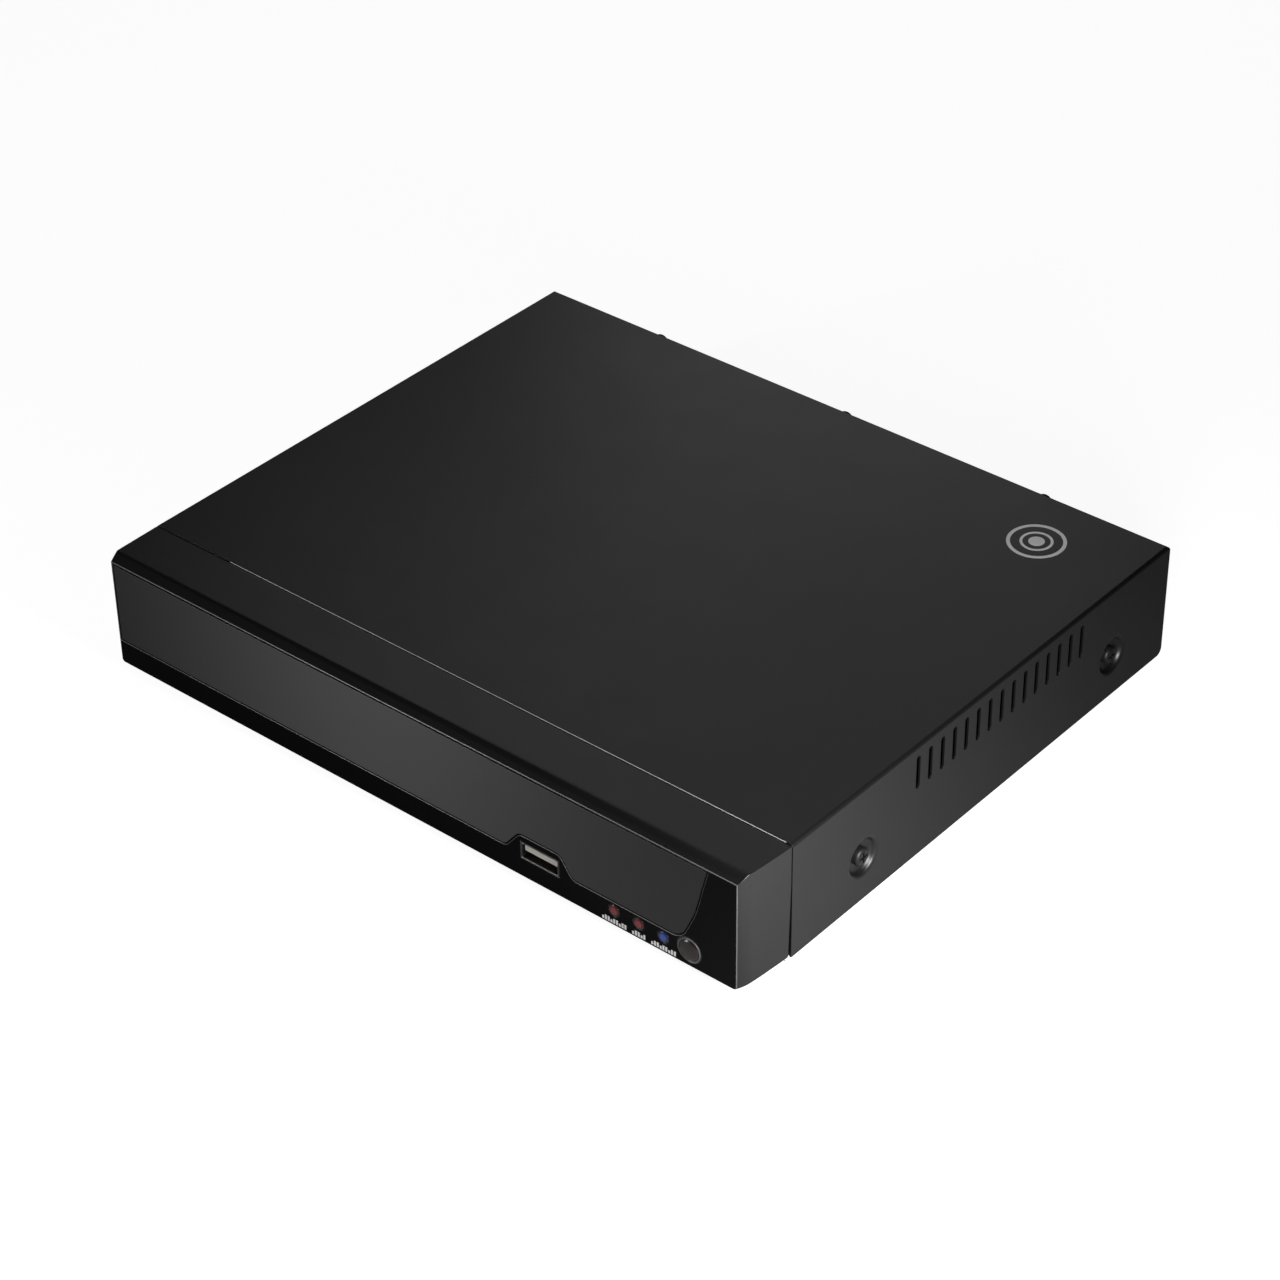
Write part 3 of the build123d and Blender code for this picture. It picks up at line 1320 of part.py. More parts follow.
def save_usb_sockets():
    """The front socket and the double rear socket."""
    front, front_tongue = usb_socket(usb_x, usb_z, front_y - usb_proud, front_board_y, 1)
    middle_z = board_z + stack_height / 2
    rear, rear_tongues = usb_socket(usb_rear_x, middle_z, mouth_y, mouth_y - stack_depth, 2)
    save("usb_front_shell", front)
    save("usb_rear_shell", rear)
    save("usb_tongues", together([front_tongue, rear_tongues]))


def main():
    """Write every piece."""
    os.makedirs("parts", exist_ok=True)
    save("top_cover", top_cover())
    save("chassis", chassis())
    save("rubber_feet", rubber_feet())
    save("cover_screws", cover_screws())
    save_front()
    save_main_board()
    save_rear_sockets()
    save_usb_sockets()
    fan()
    hard_disk()
    leads()


main()
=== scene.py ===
"""Looks of a small desktop video recorder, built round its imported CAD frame."""

import json
import logging
import math
from collections.abc import Callable, Iterable
from dataclasses import dataclass, field
from enum import Enum

import bmesh
import bpy
from mathutils import Matrix, Vector


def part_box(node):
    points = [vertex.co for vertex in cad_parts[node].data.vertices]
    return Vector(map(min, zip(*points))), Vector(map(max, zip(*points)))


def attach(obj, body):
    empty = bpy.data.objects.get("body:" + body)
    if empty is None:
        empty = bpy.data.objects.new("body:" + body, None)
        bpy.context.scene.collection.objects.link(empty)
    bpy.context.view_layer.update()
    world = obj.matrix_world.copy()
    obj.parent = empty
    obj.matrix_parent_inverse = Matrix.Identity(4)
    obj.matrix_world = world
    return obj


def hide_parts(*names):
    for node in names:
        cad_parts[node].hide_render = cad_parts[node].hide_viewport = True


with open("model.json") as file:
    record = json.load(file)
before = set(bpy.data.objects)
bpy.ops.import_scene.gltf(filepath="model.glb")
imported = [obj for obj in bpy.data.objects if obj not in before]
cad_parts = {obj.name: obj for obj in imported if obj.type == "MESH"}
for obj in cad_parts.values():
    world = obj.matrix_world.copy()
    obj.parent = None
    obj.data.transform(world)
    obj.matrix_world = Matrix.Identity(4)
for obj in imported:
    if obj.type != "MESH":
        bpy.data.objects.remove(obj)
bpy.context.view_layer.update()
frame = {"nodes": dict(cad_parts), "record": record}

LOG = logging.getLogger("recorder")
MM = 0.001
CASE = "case"
SMOOTH_UNDER = math.radians(38)
WELD = 0.002 * MM
FLAT_UNDER = math.radians(0.4)
SQUARE_ON = 0.9  # a normal's share along an axis, for a face that looks along it


# ---------------------------------------------------------------- the bench: modelling helpers
def deselect() -> None:
    """Leave nothing selected, in object mode."""
    if bpy.context.object and bpy.context.object.mode != "OBJECT":
        bpy.ops.object.mode_set(mode="OBJECT")
    bpy.ops.object.select_all(action="DESELECT")


def activate(piece: bpy.types.Object) -> None:
    """Select one piece alone and make it active."""
    deselect()
    piece.select_set(True)
    bpy.context.view_layer.objects.active = piece


def named(name: str) -> bpy.types.Object:
    """Name the piece that an operator has just added.

    Args:
        name: the piece's plain name.

    Returns:
        The active object, with that name on it and on its mesh.
    """
    piece = bpy.context.object
    piece.name = name
    piece.data.name = name
    return piece


def settle(piece: bpy.types.Object) -> bpy.types.Object:
    """Put a piece's place and turn into its mesh, so that its object sits at the origin."""
    activate(piece)
    bpy.ops.object.transform_apply(location=True, rotation=True, scale=True)
    return piece


def add_block(name: str, low: Vector, high: Vector) -> bpy.types.Object:
    """Add a block between two corners.

    Args:
        name: the piece's name.
        low: lowest corner, in metres.
        high: highest corner, in metres.

    Returns:
        The new block.
    """
    deselect()
    middle = (low + high) / 2
    bpy.ops.mesh.primitive_cube_add(size=1, location=middle, scale=high - low)
    return settle(named(name))


def add_round(
    name: str, centre: Vector, radius: float, depth: float, axis: str, sides: int = 48
) -> bpy.types.Object:
    """Add a round bar along X, Y or Z.

    Args:
        name: the piece's name.
        centre: its middle, in metres.
        radius: its radius.
        depth: its length along the axis.
        axis: "X", "Y" or "Z".
        sides: how many sides it is turned with.

    Returns:
        The new bar.
    """
    turns = {"X": (0, math.pi / 2, 0), "Y": (math.pi / 2, 0, 0), "Z": (0, 0, 0)}
    deselect()
    bpy.ops.mesh.primitive_cylinder_add(
        vertices=sides, radius=radius, depth=depth, location=centre, rotation=turns[axis]
    )
    return settle(named(name))


def pick(piece: bpy.types.Object, faces: Callable[[bmesh.types.BMFace], bool]) -> int:
    """Select the faces that pass a test, in edit mode.

    Args:
        piece: the piece, already active.
        faces: the test on one face.

    Returns:
        How many faces passed.
    """
    bpy.ops.object.mode_set(mode="EDIT")
    bpy.ops.mesh.select_mode(type="FACE")
    bpy.ops.mesh.select_all(action="DESELECT")
    mesh = bmesh.from_edit_mesh(piece.data)
    count = 0
    for face in mesh.faces:
        if faces(face):
            face.select_set(True)
            count += 1
    bmesh.update_edit_mesh(piece.data)
    return count


def soften(
    piece: bpy.types.Object, width: float, segments: int = 2, angle: float = 28.0, clamp: bool = True
) -> bpy.types.Object:
    """Round a piece's edges by a small amount and smooth its shading.

    Args:
        piece: the piece.
        width: the rounding's width, in metres.
        segments: steps across the rounding.
        angle: only edges sharper than this many degrees are rounded.
        clamp: keep the rounding from crossing itself at the mesh's shortest edge.

    Returns:
        The same piece.
    """
    activate(piece)
    bevel = piece.modifiers.new("edge", "BEVEL")
    bevel.width = width
    bevel.segments = segments
    bevel.limit_method = "ANGLE"
    bevel.angle_limit = math.radians(angle)
    bevel.use_clamp_overlap = clamp
    bpy.ops.object.modifier_apply(modifier=bevel.name)
    bpy.ops.object.shade_smooth_by_angle(angle=SMOOTH_UNDER)
    normals = piece.modifiers.new("normals", "WEIGHTED_NORMAL")
    normals.keep_sharp = True
    bpy.ops.object.modifier_apply(modifier=normals.name)
    return piece


def keep_within(piece: bpy.types.Object, low: Vector, high: Vector) -> None:
    """Bring back any corner that a rounding pushed out of its node's box.

    Args:
        piece: the piece.
        low: the box's low corner.
        high: the box's high corner.
    """
    for vertex in piece.data.vertices:
        vertex.co = Vector(min(max(part, near), far) for part, near, far in zip(vertex.co, low, high))


def merged_copy(node: str, name: str) -> bpy.types.Object:
    """Copy a CAD node's mesh as a new piece, with its triangles merged into clean faces.

    Args:
        node: the CAD node.
        name: the new piece's name.

    Returns:
        The new piece, which stands for the node.
    """
    piece = bpy.data.objects.new(name, frame["nodes"][node].data.copy())
    piece.data.name = name
    bpy.context.scene.collection.objects.link(piece)
    activate(piece)
    bpy.ops.mesh.customdata_custom_splitnormals_clear()
    bpy.ops.object.mode_set(mode="EDIT")
    bpy.ops.mesh.select_all(action="SELECT")
    bpy.ops.mesh.remove_doubles(threshold=WELD)
    bpy.ops.mesh.dissolve_limited(angle_limit=FLAT_UNDER)
    bpy.ops.object.mode_set(mode="OBJECT")
    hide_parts(node)
    return piece


def join(pieces: list[bpy.types.Object], name: str) -> bpy.types.Object:
    """Join several meshes into one piece.

    Args:
        pieces: the meshes.
        name: the joined piece's name.

    Returns:
        The joined piece.
    """
    deselect()
    for piece in pieces:
        piece.select_set(True)
    bpy.context.view_layer.objects.active = pieces[0]
    if len(pieces) > 1:
        bpy.ops.object.join()
    return named(name)


def hand_over(piece: bpy.types.Object, slot: str, *materials: bpy.types.Material, body: str = CASE) -> None:
    """Dress a piece, tie it to its body, and report it.

    Args:
        piece: the finished piece.
        slot: the record's material slot; not used.
        materials: the materials in slot order; none keeps what the piece has.
        body: the body that it rides on.
    """
    if materials:
        piece.data.materials.clear()
        for material in materials:
            piece.data.materials.append(material)
    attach(piece, body)
    LOG.info("%s: %d faces, rides on %s", piece.name, len(piece.data.polygons), body)


# ---------------------------------------------------------------- shared shader groups
class Nodes:
    """A short way to write a node tree."""

    def __init__(self, tree: bpy.types.NodeTree) -> None:
        """Start on an existing tree."""
        self.tree = tree

    def add(self, kind: str, **values: object) -> bpy.types.Node:
        """Add a node and set its properties or inputs.

        Args:
            kind: the node's type name.
            values: properties by name, or inputs with spaces written as underscores.

        Returns:
            The new node.
        """
        node = self.tree.nodes.new(kind)
        for key, value in values.items():
            if hasattr(node, key):
                setattr(node, key, value)
            else:
                node.inputs[key.replace("_", " ")].default_value = value
        return node

    def link(self, source: bpy.types.NodeSocket, target: bpy.types.NodeSocket) -> None:
        """Join two sockets."""
        self.tree.links.new(source, target)


def make_group(
    name: str, inputs: dict[str, float], outputs: dict[str, str]
) -> tuple[Nodes, bpy.types.Node, bpy.types.Node]:
    """Start a shader node group with named sockets.

    Args:
        name: the group's name.
        inputs: float inputs and their defaults, besides the Position vector.
        outputs: output names and their socket types.

    Returns:
        The group's nodes, its input node and its output node.
    """
    tree = bpy.data.node_groups.new(name, "ShaderNodeTree")
    tree.interface.new_socket(name="Position", in_out="INPUT", socket_type="NodeSocketVector")
    for label, default in inputs.items():
        socket = tree.interface.new_socket(name=label, in_out="INPUT", socket_type="NodeSocketFloat")
        socket.default_value = default
    for label, kind in outputs.items():
        tree.interface.new_socket(name=label, in_out="OUTPUT", socket_type=kind)
    nodes = Nodes(tree)
    return nodes, nodes.add("NodeGroupInput"), nodes.add("NodeGroupOutput")


def grain_group() -> bpy.types.NodeTree:
    """Fine orange-peel grain: a height that feeds a Bump node, and a value that varies roughness.

    Returns:
        The group, with Scale and Mottle inputs, and Height and Roughness outputs.
    """
    nodes, start, end = make_group(
        "surface_grain",
        {"Scale": 2500.0, "Mottle": 60.0, "Roughness": 0.45, "Spread": 0.06},
        {"Height": "NodeSocketFloat", "Roughness": "NodeSocketFloat"},
    )
    fine = nodes.add("ShaderNodeTexNoise", Detail=3.0, Roughness=0.6)
    broad = nodes.add("ShaderNodeTexNoise", Detail=4.0, Roughness=0.55)
    for noise, scale in ((fine, "Scale"), (broad, "Mottle")):
        nodes.link(start.outputs["Position"], noise.inputs["Vector"])
        nodes.link(start.outputs[scale], noise.inputs["Scale"])
    centred = nodes.add("ShaderNodeMath", operation="SUBTRACT")
    centred.inputs[1].default_value = 0.5
    nodes.link(broad.outputs["Fac"], centred.inputs[0])
    spread = nodes.add("ShaderNodeMath", operation="MULTIPLY_ADD")
    nodes.link(centred.outputs[0], spread.inputs[0])
    nodes.link(start.outputs["Spread"], spread.inputs[1])
    nodes.link(start.outputs["Roughness"], spread.inputs[2])
    nodes.link(spread.outputs[0], end.inputs["Roughness"])
    nodes.link(fine.outputs["Fac"], end.inputs["Height"])
    return nodes.tree


def dust_group() -> bpy.types.NodeTree:
    """Sparse dust specks and faint wipe marks: a mask between 0 and 1.

    Returns:
        The group, with Scale and Amount inputs and a Mask output.
    """
    nodes, start, end = make_group("dust", {"Scale": 900.0, "Amount": 0.3}, {"Mask": "NodeSocketFloat"})
    cells = nodes.add("ShaderNodeTexVoronoi", feature="F1")
    nodes.link(start.outputs["Position"], cells.inputs["Vector"])
    nodes.link(start.outputs["Scale"], cells.inputs["Scale"])
    speck = nodes.add("ShaderNodeMapRange", From_Min=0.03, From_Max=0.12, To_Min=1.0, To_Max=0.0)
    nodes.link(cells.outputs["Distance"], speck.inputs["Value"])
    patches = nodes.add("ShaderNodeTexNoise", Scale=22.0, Detail=5.0)
    nodes.link(start.outputs["Position"], patches.inputs["Vector"])
    where = nodes.add("ShaderNodeMapRange", From_Min=0.52, From_Max=0.75)
    nodes.link(patches.outputs["Fac"], where.inputs["Value"])
    both = nodes.add("ShaderNodeMath", operation="MULTIPLY")
    nodes.link(speck.outputs[0], both.inputs[0])
    nodes.link(where.outputs[0], both.inputs[1])
    level = nodes.add("ShaderNodeMath", operation="MULTIPLY", use_clamp=True)
    nodes.link(both.outputs[0], level.inputs[0])
    nodes.link(start.outputs["Amount"], level.inputs[1])
    nodes.link(level.outputs[0], end.inputs["Mask"])
    return nodes.tree


def scratch_group() -> bpy.types.NodeTree:
    """Long fine lines, as on plated or brushed metal.

    Returns:
        The group, with Scale and Stretch inputs, and Height and Roughness outputs.
    """
    nodes, start, end = make_group(
        "brushed_lines",
        {"Scale": 900.0, "Stretch": 0.04, "Roughness": 0.25, "Spread": 0.12},
        {"Height": "NodeSocketFloat", "Roughness": "NodeSocketFloat"},
    )
    long_way = nodes.add("ShaderNodeCombineXYZ", X=1.0, Z=1.0)
    nodes.link(start.outputs["Stretch"], long_way.inputs["Y"])
    place = nodes.add("ShaderNodeVectorMath", operation="MULTIPLY")
    nodes.link(start.outputs["Position"], place.inputs[0])
    nodes.link(long_way.outputs[0], place.inputs[1])
    lines = nodes.add("ShaderNodeTexNoise", Detail=4.0, Roughness=0.7)
    nodes.link(place.outputs[0], lines.inputs["Vector"])
    nodes.link(start.outputs["Scale"], lines.inputs["Scale"])
    vary = nodes.add("ShaderNodeMath", operation="MULTIPLY_ADD")
    nodes.link(lines.outputs["Fac"], vary.inputs[0])
    nodes.link(start.outputs["Spread"], vary.inputs[1])
    nodes.link(start.outputs["Roughness"], vary.inputs[2])
    nodes.link(vary.outputs[0], end.inputs["Roughness"])
    nodes.link(lines.outputs["Fac"], end.inputs["Height"])
    return nodes.tree


GRAIN = grain_group()
DUST = dust_group()
BRUSHED = scratch_group()


# ---------------------------------------------------------------- finishes
class Texture(Enum):
    """Which shared surface effect gives a finish its roughness and relief."""

    GRAIN = "grain"
    BRUSHED = "brushed"


DUST_COLOUR = (0.22, 0.21, 0.2, 1.0)
LIGHTER = 1.25  # how much lighter the pale part of a mottled colour is
CLOUD_SHARE = 0.7  # a colour's patches are broader than its roughness's
QUARTER_TURN = 0.25


@dataclass(frozen=True)
class Finish:
    """One finish: a Principled surface whose colour, roughness and relief come from shared groups."""

    name: str
    colour: tuple[float, float, float]
    roughness: float
    spread: float = 0.06
    tint: tuple[float, float, float] | None = None
    texture: Texture = Texture.GRAIN
    scale: float = 2500.0
    mottle: float = 60.0
    relief: float = 0.12
    distance: float = 0.02 * MM
    metallic: float = 0.0
    specular: float = 0.5
    coat: float = 0.0
    coat_roughness: float = 0.1
    anisotropy: float = 0.0
    dust: float = 0.0
    glow: float = 0.0

    def material(self) -> bpy.types.Material:
        """Build the finish's material once and hand it out.

        Returns:
            The material.
        """
        known = bpy.data.materials.get(self.name)
        if known:
            return known
        made = bpy.data.materials.new(self.name)
        made.use_nodes = True
        nodes = Nodes(made.node_tree)
        shader = made.node_tree.nodes["Principled BSDF"]
        shader.inputs["Metallic"].default_value = self.metallic
        shader.inputs["Specular IOR Level"].default_value = self.specular
        shader.inputs["Coat Weight"].default_value = self.coat
        shader.inputs["Coat Roughness"].default_value = self.coat_roughness
        shader.inputs["Anisotropic"].default_value = self.anisotropy
        if self.anisotropy:
            shader.inputs["Anisotropic Rotation"].default_value = QUARTER_TURN
            around = nodes.add("ShaderNodeTangent", direction_type="RADIAL", axis="Z")
            nodes.link(around.outputs["Tangent"], shader.inputs["Tangent"])
        place = nodes.add("ShaderNodeTexCoord").outputs["Object"]
        self._colour(nodes, place, shader)
        self._surface(nodes, place, shader)
        if self.glow:
            shader.inputs["Emission Color"].default_value = (*self.colour, 1.0)
            shader.inputs["Emission Strength"].default_value = self.glow
        return made

    def _colour(self, nodes: Nodes, place: bpy.types.NodeSocket, shader: bpy.types.Node) -> None:
        """Vary the base colour softly, and lay dust over it.

        Args:
            nodes: the material's nodes.
            place: the object coordinates.
            shader: the Principled node.
        """
        cloud = nodes.add("ShaderNodeTexNoise", Scale=self.mottle * CLOUD_SHARE, Detail=4.0)
        nodes.link(place, cloud.inputs["Vector"])
        other = self.tint or tuple(min(1.0, part * LIGHTER + 0.001) for part in self.colour)
        blend = nodes.add("ShaderNodeMix", data_type="RGBA")
        blend.inputs[6].default_value = (*self.colour, 1.0)
        blend.inputs[7].default_value = (*other, 1.0)
        nodes.link(cloud.outputs["Fac"], blend.inputs[0])
        result = blend.outputs[2]
        if self.dust:
            mask = nodes.add("ShaderNodeGroup", node_tree=DUST, Amount=self.dust)
            nodes.link(place, mask.inputs["Position"])
            dusty = nodes.add("ShaderNodeMix", data_type="RGBA")
            dusty.inputs[7].default_value = DUST_COLOUR
            nodes.link(mask.outputs["Mask"], dusty.inputs[0])
            nodes.link(result, dusty.inputs[6])
            result = dusty.outputs[2]
        nodes.link(result, shader.inputs["Base Color"])

    def _surface(self, nodes: Nodes, place: bpy.types.NodeSocket, shader: bpy.types.Node) -> None:
        """Drive roughness and relief from the finish's texture group.

        Args:
            nodes: the material's nodes.
            place: the object coordinates.
            shader: the Principled node.
        """
        tree = BRUSHED if self.texture is Texture.BRUSHED else GRAIN
        group = nodes.add("ShaderNodeGroup", node_tree=tree)
        group.inputs["Scale"].default_value = self.scale
        group.inputs["Roughness"].default_value = self.roughness
        group.inputs["Spread"].default_value = self.spread
        if self.texture is Texture.GRAIN:
            group.inputs["Mottle"].default_value = self.mottle
        nodes.link(place, group.inputs["Position"])
        bump = nodes.add("ShaderNodeBump", Strength=self.relief, Distance=self.distance)
        nodes.link(group.outputs["Height"], bump.inputs["Height"])
        nodes.link(bump.outputs["Normal"], shader.inputs["Normal"])
        nodes.link(group.outputs["Roughness"], shader.inputs["Roughness"])


PAINT = Finish("black_powder_paint", (0.005, 0.005, 0.0052), 0.36, scale=2200.0, relief=0.3, dust=0.05)
TRAY_PAINT = Finish("tray_paint", (0.006, 0.006, 0.0062), 0.45, scale=2200.0, relief=0.3)
BEZEL_SATIN = Finish("bezel_satin", (0.006, 0.006, 0.0062), 0.33, scale=3200.0, relief=0.15)
FACE_BLACK = Finish("face_black", (0.002, 0.002, 0.0021), 0.25, specular=0.05, relief=0.04)
INLAY = Finish("inlay_gloss", (0.008, 0.008, 0.0082), 0.45, 0.03, relief=0.03, anisotropy=0.9)
RED_LAMP = Finish("red_lamp_resin", (0.2, 0.014, 0.018), 0.2, 0.05, coat=0.6, glow=0.04)
# Darker copies of the lamp resins, laid round each dome's edge: painted shade.
RED_LAMP_EDGE_SHADE = Finish("red_lamp_painted_edge_shade", (0.035, 0.003, 0.004), 0.3, 0.05, coat=0.3)
BLUE_LAMP = Finish("blue_lamp_resin", (0.012, 0.05, 0.3), 0.2, 0.05, coat=0.6, glow=0.06)
BLUE_LAMP_EDGE_SHADE = Finish("blue_lamp_painted_edge_shade", (0.003, 0.008, 0.05), 0.3, 0.05, coat=0.3)
# Light grey on rounded front rims: a painted highlight for the light lines that these edges catch.
EDGE_HIGHLIGHT_PAINT = Finish("painted_edge_highlight", (0.1, 0.1, 0.102), 0.3, 0.05, relief=0.1)
# Light grey that stands for the bright line on the cover's front edge: a painted highlight.
SEAM_HIGHLIGHT_PAINT = Finish("painted_seam_highlight", (0.62, 0.62, 0.63), 0.35, 0.1, relief=0.1)
SOCKET_STEEL = Finish("socket_steel", (0.16, 0.155, 0.15), 0.3, 0.1, texture=Texture.BRUSHED, metallic=1.0)
LENS = Finish("infrared_lens", (0.008, 0.005, 0.006), 0.08, 0.03, coat=1.0, coat_roughness=0.03)
NICKEL = Finish(
    "nickel_plate", (0.62, 0.6, 0.56), 0.2, 0.14, texture=Texture.BRUSHED, metallic=1.0, relief=0.08
)
BLACK_SCREW = Finish("black_screw", (0.02, 0.02, 0.021), 0.22, 0.12, metallic=0.6, relief=0.1)
INK = Finish("white_ink", (0.75, 0.75, 0.74), 0.5, 0.06, relief=0.1)
RUBBER = Finish("foot_rubber", (0.012, 0.012, 0.012), 0.75, 0.1, relief=0.4)

BY_SLOT: dict[str, Finish] = {
    "cover_paint": PAINT,
    "tray_steel": TRAY_PAINT,
    "feet_rubber": RUBBER,
    "black_screw": BLACK_SCREW,
    "bezel_plastic": BEZEL_SATIN,
    "window_gloss": INLAY,
    "red_lamp": RED_LAMP,
    "blue_lamp": BLUE_LAMP,
    "infrared_lens": LENS,
    "nickel": NICKEL,
    "chip_plastic": Finish("chip_epoxy", (0.016, 0.016, 0.017), 0.5, relief=0.3),
    "board_green": Finish("solder_mask", (0.01, 0.09, 0.035), 0.3, tint=(0.02, 0.16, 0.06), mottle=900.0),
    "bright_screw": Finish("zinc_screw", (0.62, 0.63, 0.64), 0.3, 0.1, metallic=1.0),
    "brass_pillar": Finish("turned_brass", (0.72, 0.53, 0.22), 0.25, texture=Texture.BRUSHED, metallic=1.0),
    "heat_sink_alloy": Finish(
        "anodised_alloy", (0.32, 0.33, 0.35), 0.38, texture=Texture.BRUSHED, metallic=1.0
    ),
    "cell_steel": Finish("cell_steel", (0.6, 0.6, 0.58), 0.28, texture=Texture.BRUSHED, metallic=1.0),
    "black_plastic": Finish("moulded_black", (0.014, 0.014, 0.014), 0.42, relief=0.25),
    "white_plastic": Finish("moulded_ivory", (0.62, 0.6, 0.54), 0.4, relief=0.2),
    "red_plastic": Finish("moulded_red", (0.42, 0.025, 0.02), 0.38, relief=0.2),
    "blue_plastic": Finish("moulded_blue", (0.02, 0.06, 0.32), 0.38, relief=0.2),
    "can_alloy": Finish("can_sleeve", (0.5, 0.5, 0.52), 0.3, texture=Texture.BRUSHED, metallic=1.0),
    "ferrite": Finish("pressed_ferrite", (0.05, 0.05, 0.055), 0.6, relief=0.5),
    "gold_contact": Finish("gold_flash", (0.83, 0.58, 0.2), 0.2, metallic=1.0),
    "copper_coil": Finish("enamelled_copper", (0.6, 0.24, 0.09), 0.3, texture=Texture.BRUSHED, metallic=0.9),
    "disk_casting": Finish("cast_alloy", (0.36, 0.37, 0.38), 0.5, 0.12, metallic=0.9, relief=0.6),
    "disk_steel": Finish("disk_steel", (0.58, 0.59, 0.6), 0.3, texture=Texture.BRUSHED, metallic=1.0),
    "disk_mirror": Finish("polished_disk", (0.86, 0.86, 0.88), 0.04, 0.02, metallic=1.0, relief=0.01),
    "red_cable": Finish("red_jacket", (0.38, 0.02, 0.02), 0.45, relief=0.3),
    "black_cable": Finish("black_jacket", (0.015, 0.015, 0.015), 0.5, relief=0.3),
    "grey_cable": Finish("grey_jacket", (0.22, 0.22, 0.23), 0.5, relief=0.3),
}


# ---------------------------------------------------------------- the case
@dataclass
class SleeveCover:
    """The painted sleeve with its vents and pressed screw recesses."""

    edge: float = 0.12 * MM
    sharp: float = 60.0

    def build(self) -> bpy.types.Object:
        """Take the sleeve's exact shape and break its sharp sheet edges.

        Returns:
            The finished sleeve.
        """
        piece = soften(merged_copy("top_cover", "cover_sleeve"), self.edge, angle=self.sharp, clamp=False)
        keep_within(piece, *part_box("top_cover"))
        hand_over(piece, "cover_paint", PAINT.material())
        return piece


@dataclass
class PaintedSeamHighlight:
    """A painted highlight: a light grey strip along the top of the sleeve's front edge, which stands a
    little above the moulding.
    """

    # The painted highlight starts this far in from the sleeve's left end.
    from_left: float = 33.0 * MM
    from_right: float = 2.5 * MM
    height: float = 0.3 * MM
    ink: float = 0.04 * MM

    def build(self) -> bpy.types.Object:
        """Lay the painted highlight strip along the sheet's front edge.

        Returns:
            The strip.
        """
        low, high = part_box("top_cover")
        strip_low = Vector((low.x + self.from_left, low.y - self.ink, high.z - self.height))
        strip_high = Vector((high.x - self.from_right, low.y, high.z - self.ink))
        # A thin light grey block on the edge: painted highlight, not bare metal.
        strip = add_block("painted_seam_highlight", strip_low, strip_high)
        hand_over(strip, "cover_paint", SEAM_HIGHLIGHT_PAINT.material())
        return strip


@dataclass
class Mark:
    """A plain printed mark on the cover: two rings round a dot."""

    from_side: float = 34.0 * MM
    from_rear: float = 24.0 * MM
    radius: float = 9.5 * MM
    line: float = 1.2 * MM
    dot: float = 2.6 * MM
    inner_share: float = 0.56
    inner_line: float = 0.75
    ink: float = 0.04 * MM
    sides: int = 72

    def build(self) -> bpy.types.Object:
        """Print the rings and the dot.

        Returns:
            The mark as one thin piece.
        """
        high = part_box("top_cover")[1]
        centre = Vector((high.x - self.from_side, high.y - self.from_rear, high.z + self.ink / 2))
        ring = self._ring(centre, self.radius, self.line, "mark_ring")
        inner = self._ring(centre, self.radius * self.inner_share, self.line * self.inner_line, "mark_inner")
        dot = add_round("mark_dot", centre, self.dot, self.ink, "Z")
        piece = join([ring, inner, dot], "cover_mark")
        hand_over(piece, "cover_paint", INK.material())
        return piece

    def _ring(self, centre: Vector, radius: float, line: float, name: str) -> bpy.types.Object:
        """Turn a disc into a flat ring by an inset and a bridge.

        Args:
            centre: the ring's middle.
            radius: its outer radius.
            line: its width.
            name: its name.

        Returns:
            The ring.
        """
        ring = add_round(name, centre, radius, self.ink, "Z", self.sides)
        activate(ring)
        pick(ring, lambda face: abs(face.normal.z) > SQUARE_ON)
        bpy.ops.mesh.inset(thickness=line, depth=0)
        bpy.ops.mesh.bridge_edge_loops()
        bpy.ops.object.mode_set(mode="OBJECT")
        return ring


# ---------------------------------------------------------------- the front
@dataclass
class FrontMoulding:
    """The moulded front: satin cheeks and top, with a black face and a painted highlight on its front rims.
    """

    edge: float = 0.2 * MM
    pocket: float = 2.6 * MM
    cheek: float = 3.4 * MM
    brow: float = 2.3 * MM
    lamp_room: float = 1.0 * MM
    sharp: float = 50.0
    flat: float = 0.99

    def build(self) -> bpy.types.Object:
        """Take the moulding's shape, break its edges, give its face the black finish and paint a light
        highlight colour on its front rims.

        Returns:
            The finished moulding.
        """
        piece = soften(merged_copy("front_bezel", "front_moulding"), self.edge, 3, self.sharp, clamp=False)
        low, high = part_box("front_bezel")
        keep_within(piece, low, high)
        lamps_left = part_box("red_lamps")[0].x - self.lamp_room
        lamps_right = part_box("blue_lamp")[1].x + self.lamp_room
        lamps_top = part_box("blue_lamp")[1].z
        piece.data.materials.clear()
        for finish in (BEZEL_SATIN, FACE_BLACK, EDGE_HIGHLIGHT_PAINT):
            piece.data.materials.append(finish.material())
        for face in piece.data.polygons:
            on_face = face.center.y < low.y + self.pocket and face.normal.y < -self.flat
            behind_rim = low.y + self.edge * 0.9 < face.center.y < low.y + self.pocket
            in_pocket = behind_rim and abs(face.center.x) < high.x - self.cheek
            below_edge = face.center.z < high.z - self.brow
            by_lamp = lamps_left < face.center.x < lamps_right and face.center.z < lamps_top
            # Rounded front rims, away from the face and the lamps, take the light grey painted highlight.
            painted_highlight_rim = face.center.y < low.y + self.edge and not (on_face or by_lamp)
            face.material_index = 2 if painted_highlight_rim else int((on_face or in_pocket) and below_edge)
        hand_over(piece, "bezel_plastic")
        return piece


@dataclass
class WindowInlay:
    """The glossy dark inlay set into the face."""

    edge: float = 0.18 * MM
    sharp: float = 50.0

    def build(self) -> bpy.types.Object:
        """Take the inlay's outline and give it a fine polished edge.

        Returns:
            The finished inlay.
        """
        piece = soften(merged_copy("front_window", "window_inlay"), self.edge, 2, self.sharp, clamp=False)
        hand_over(piece, "window_gloss", INLAY.material())
        return piece


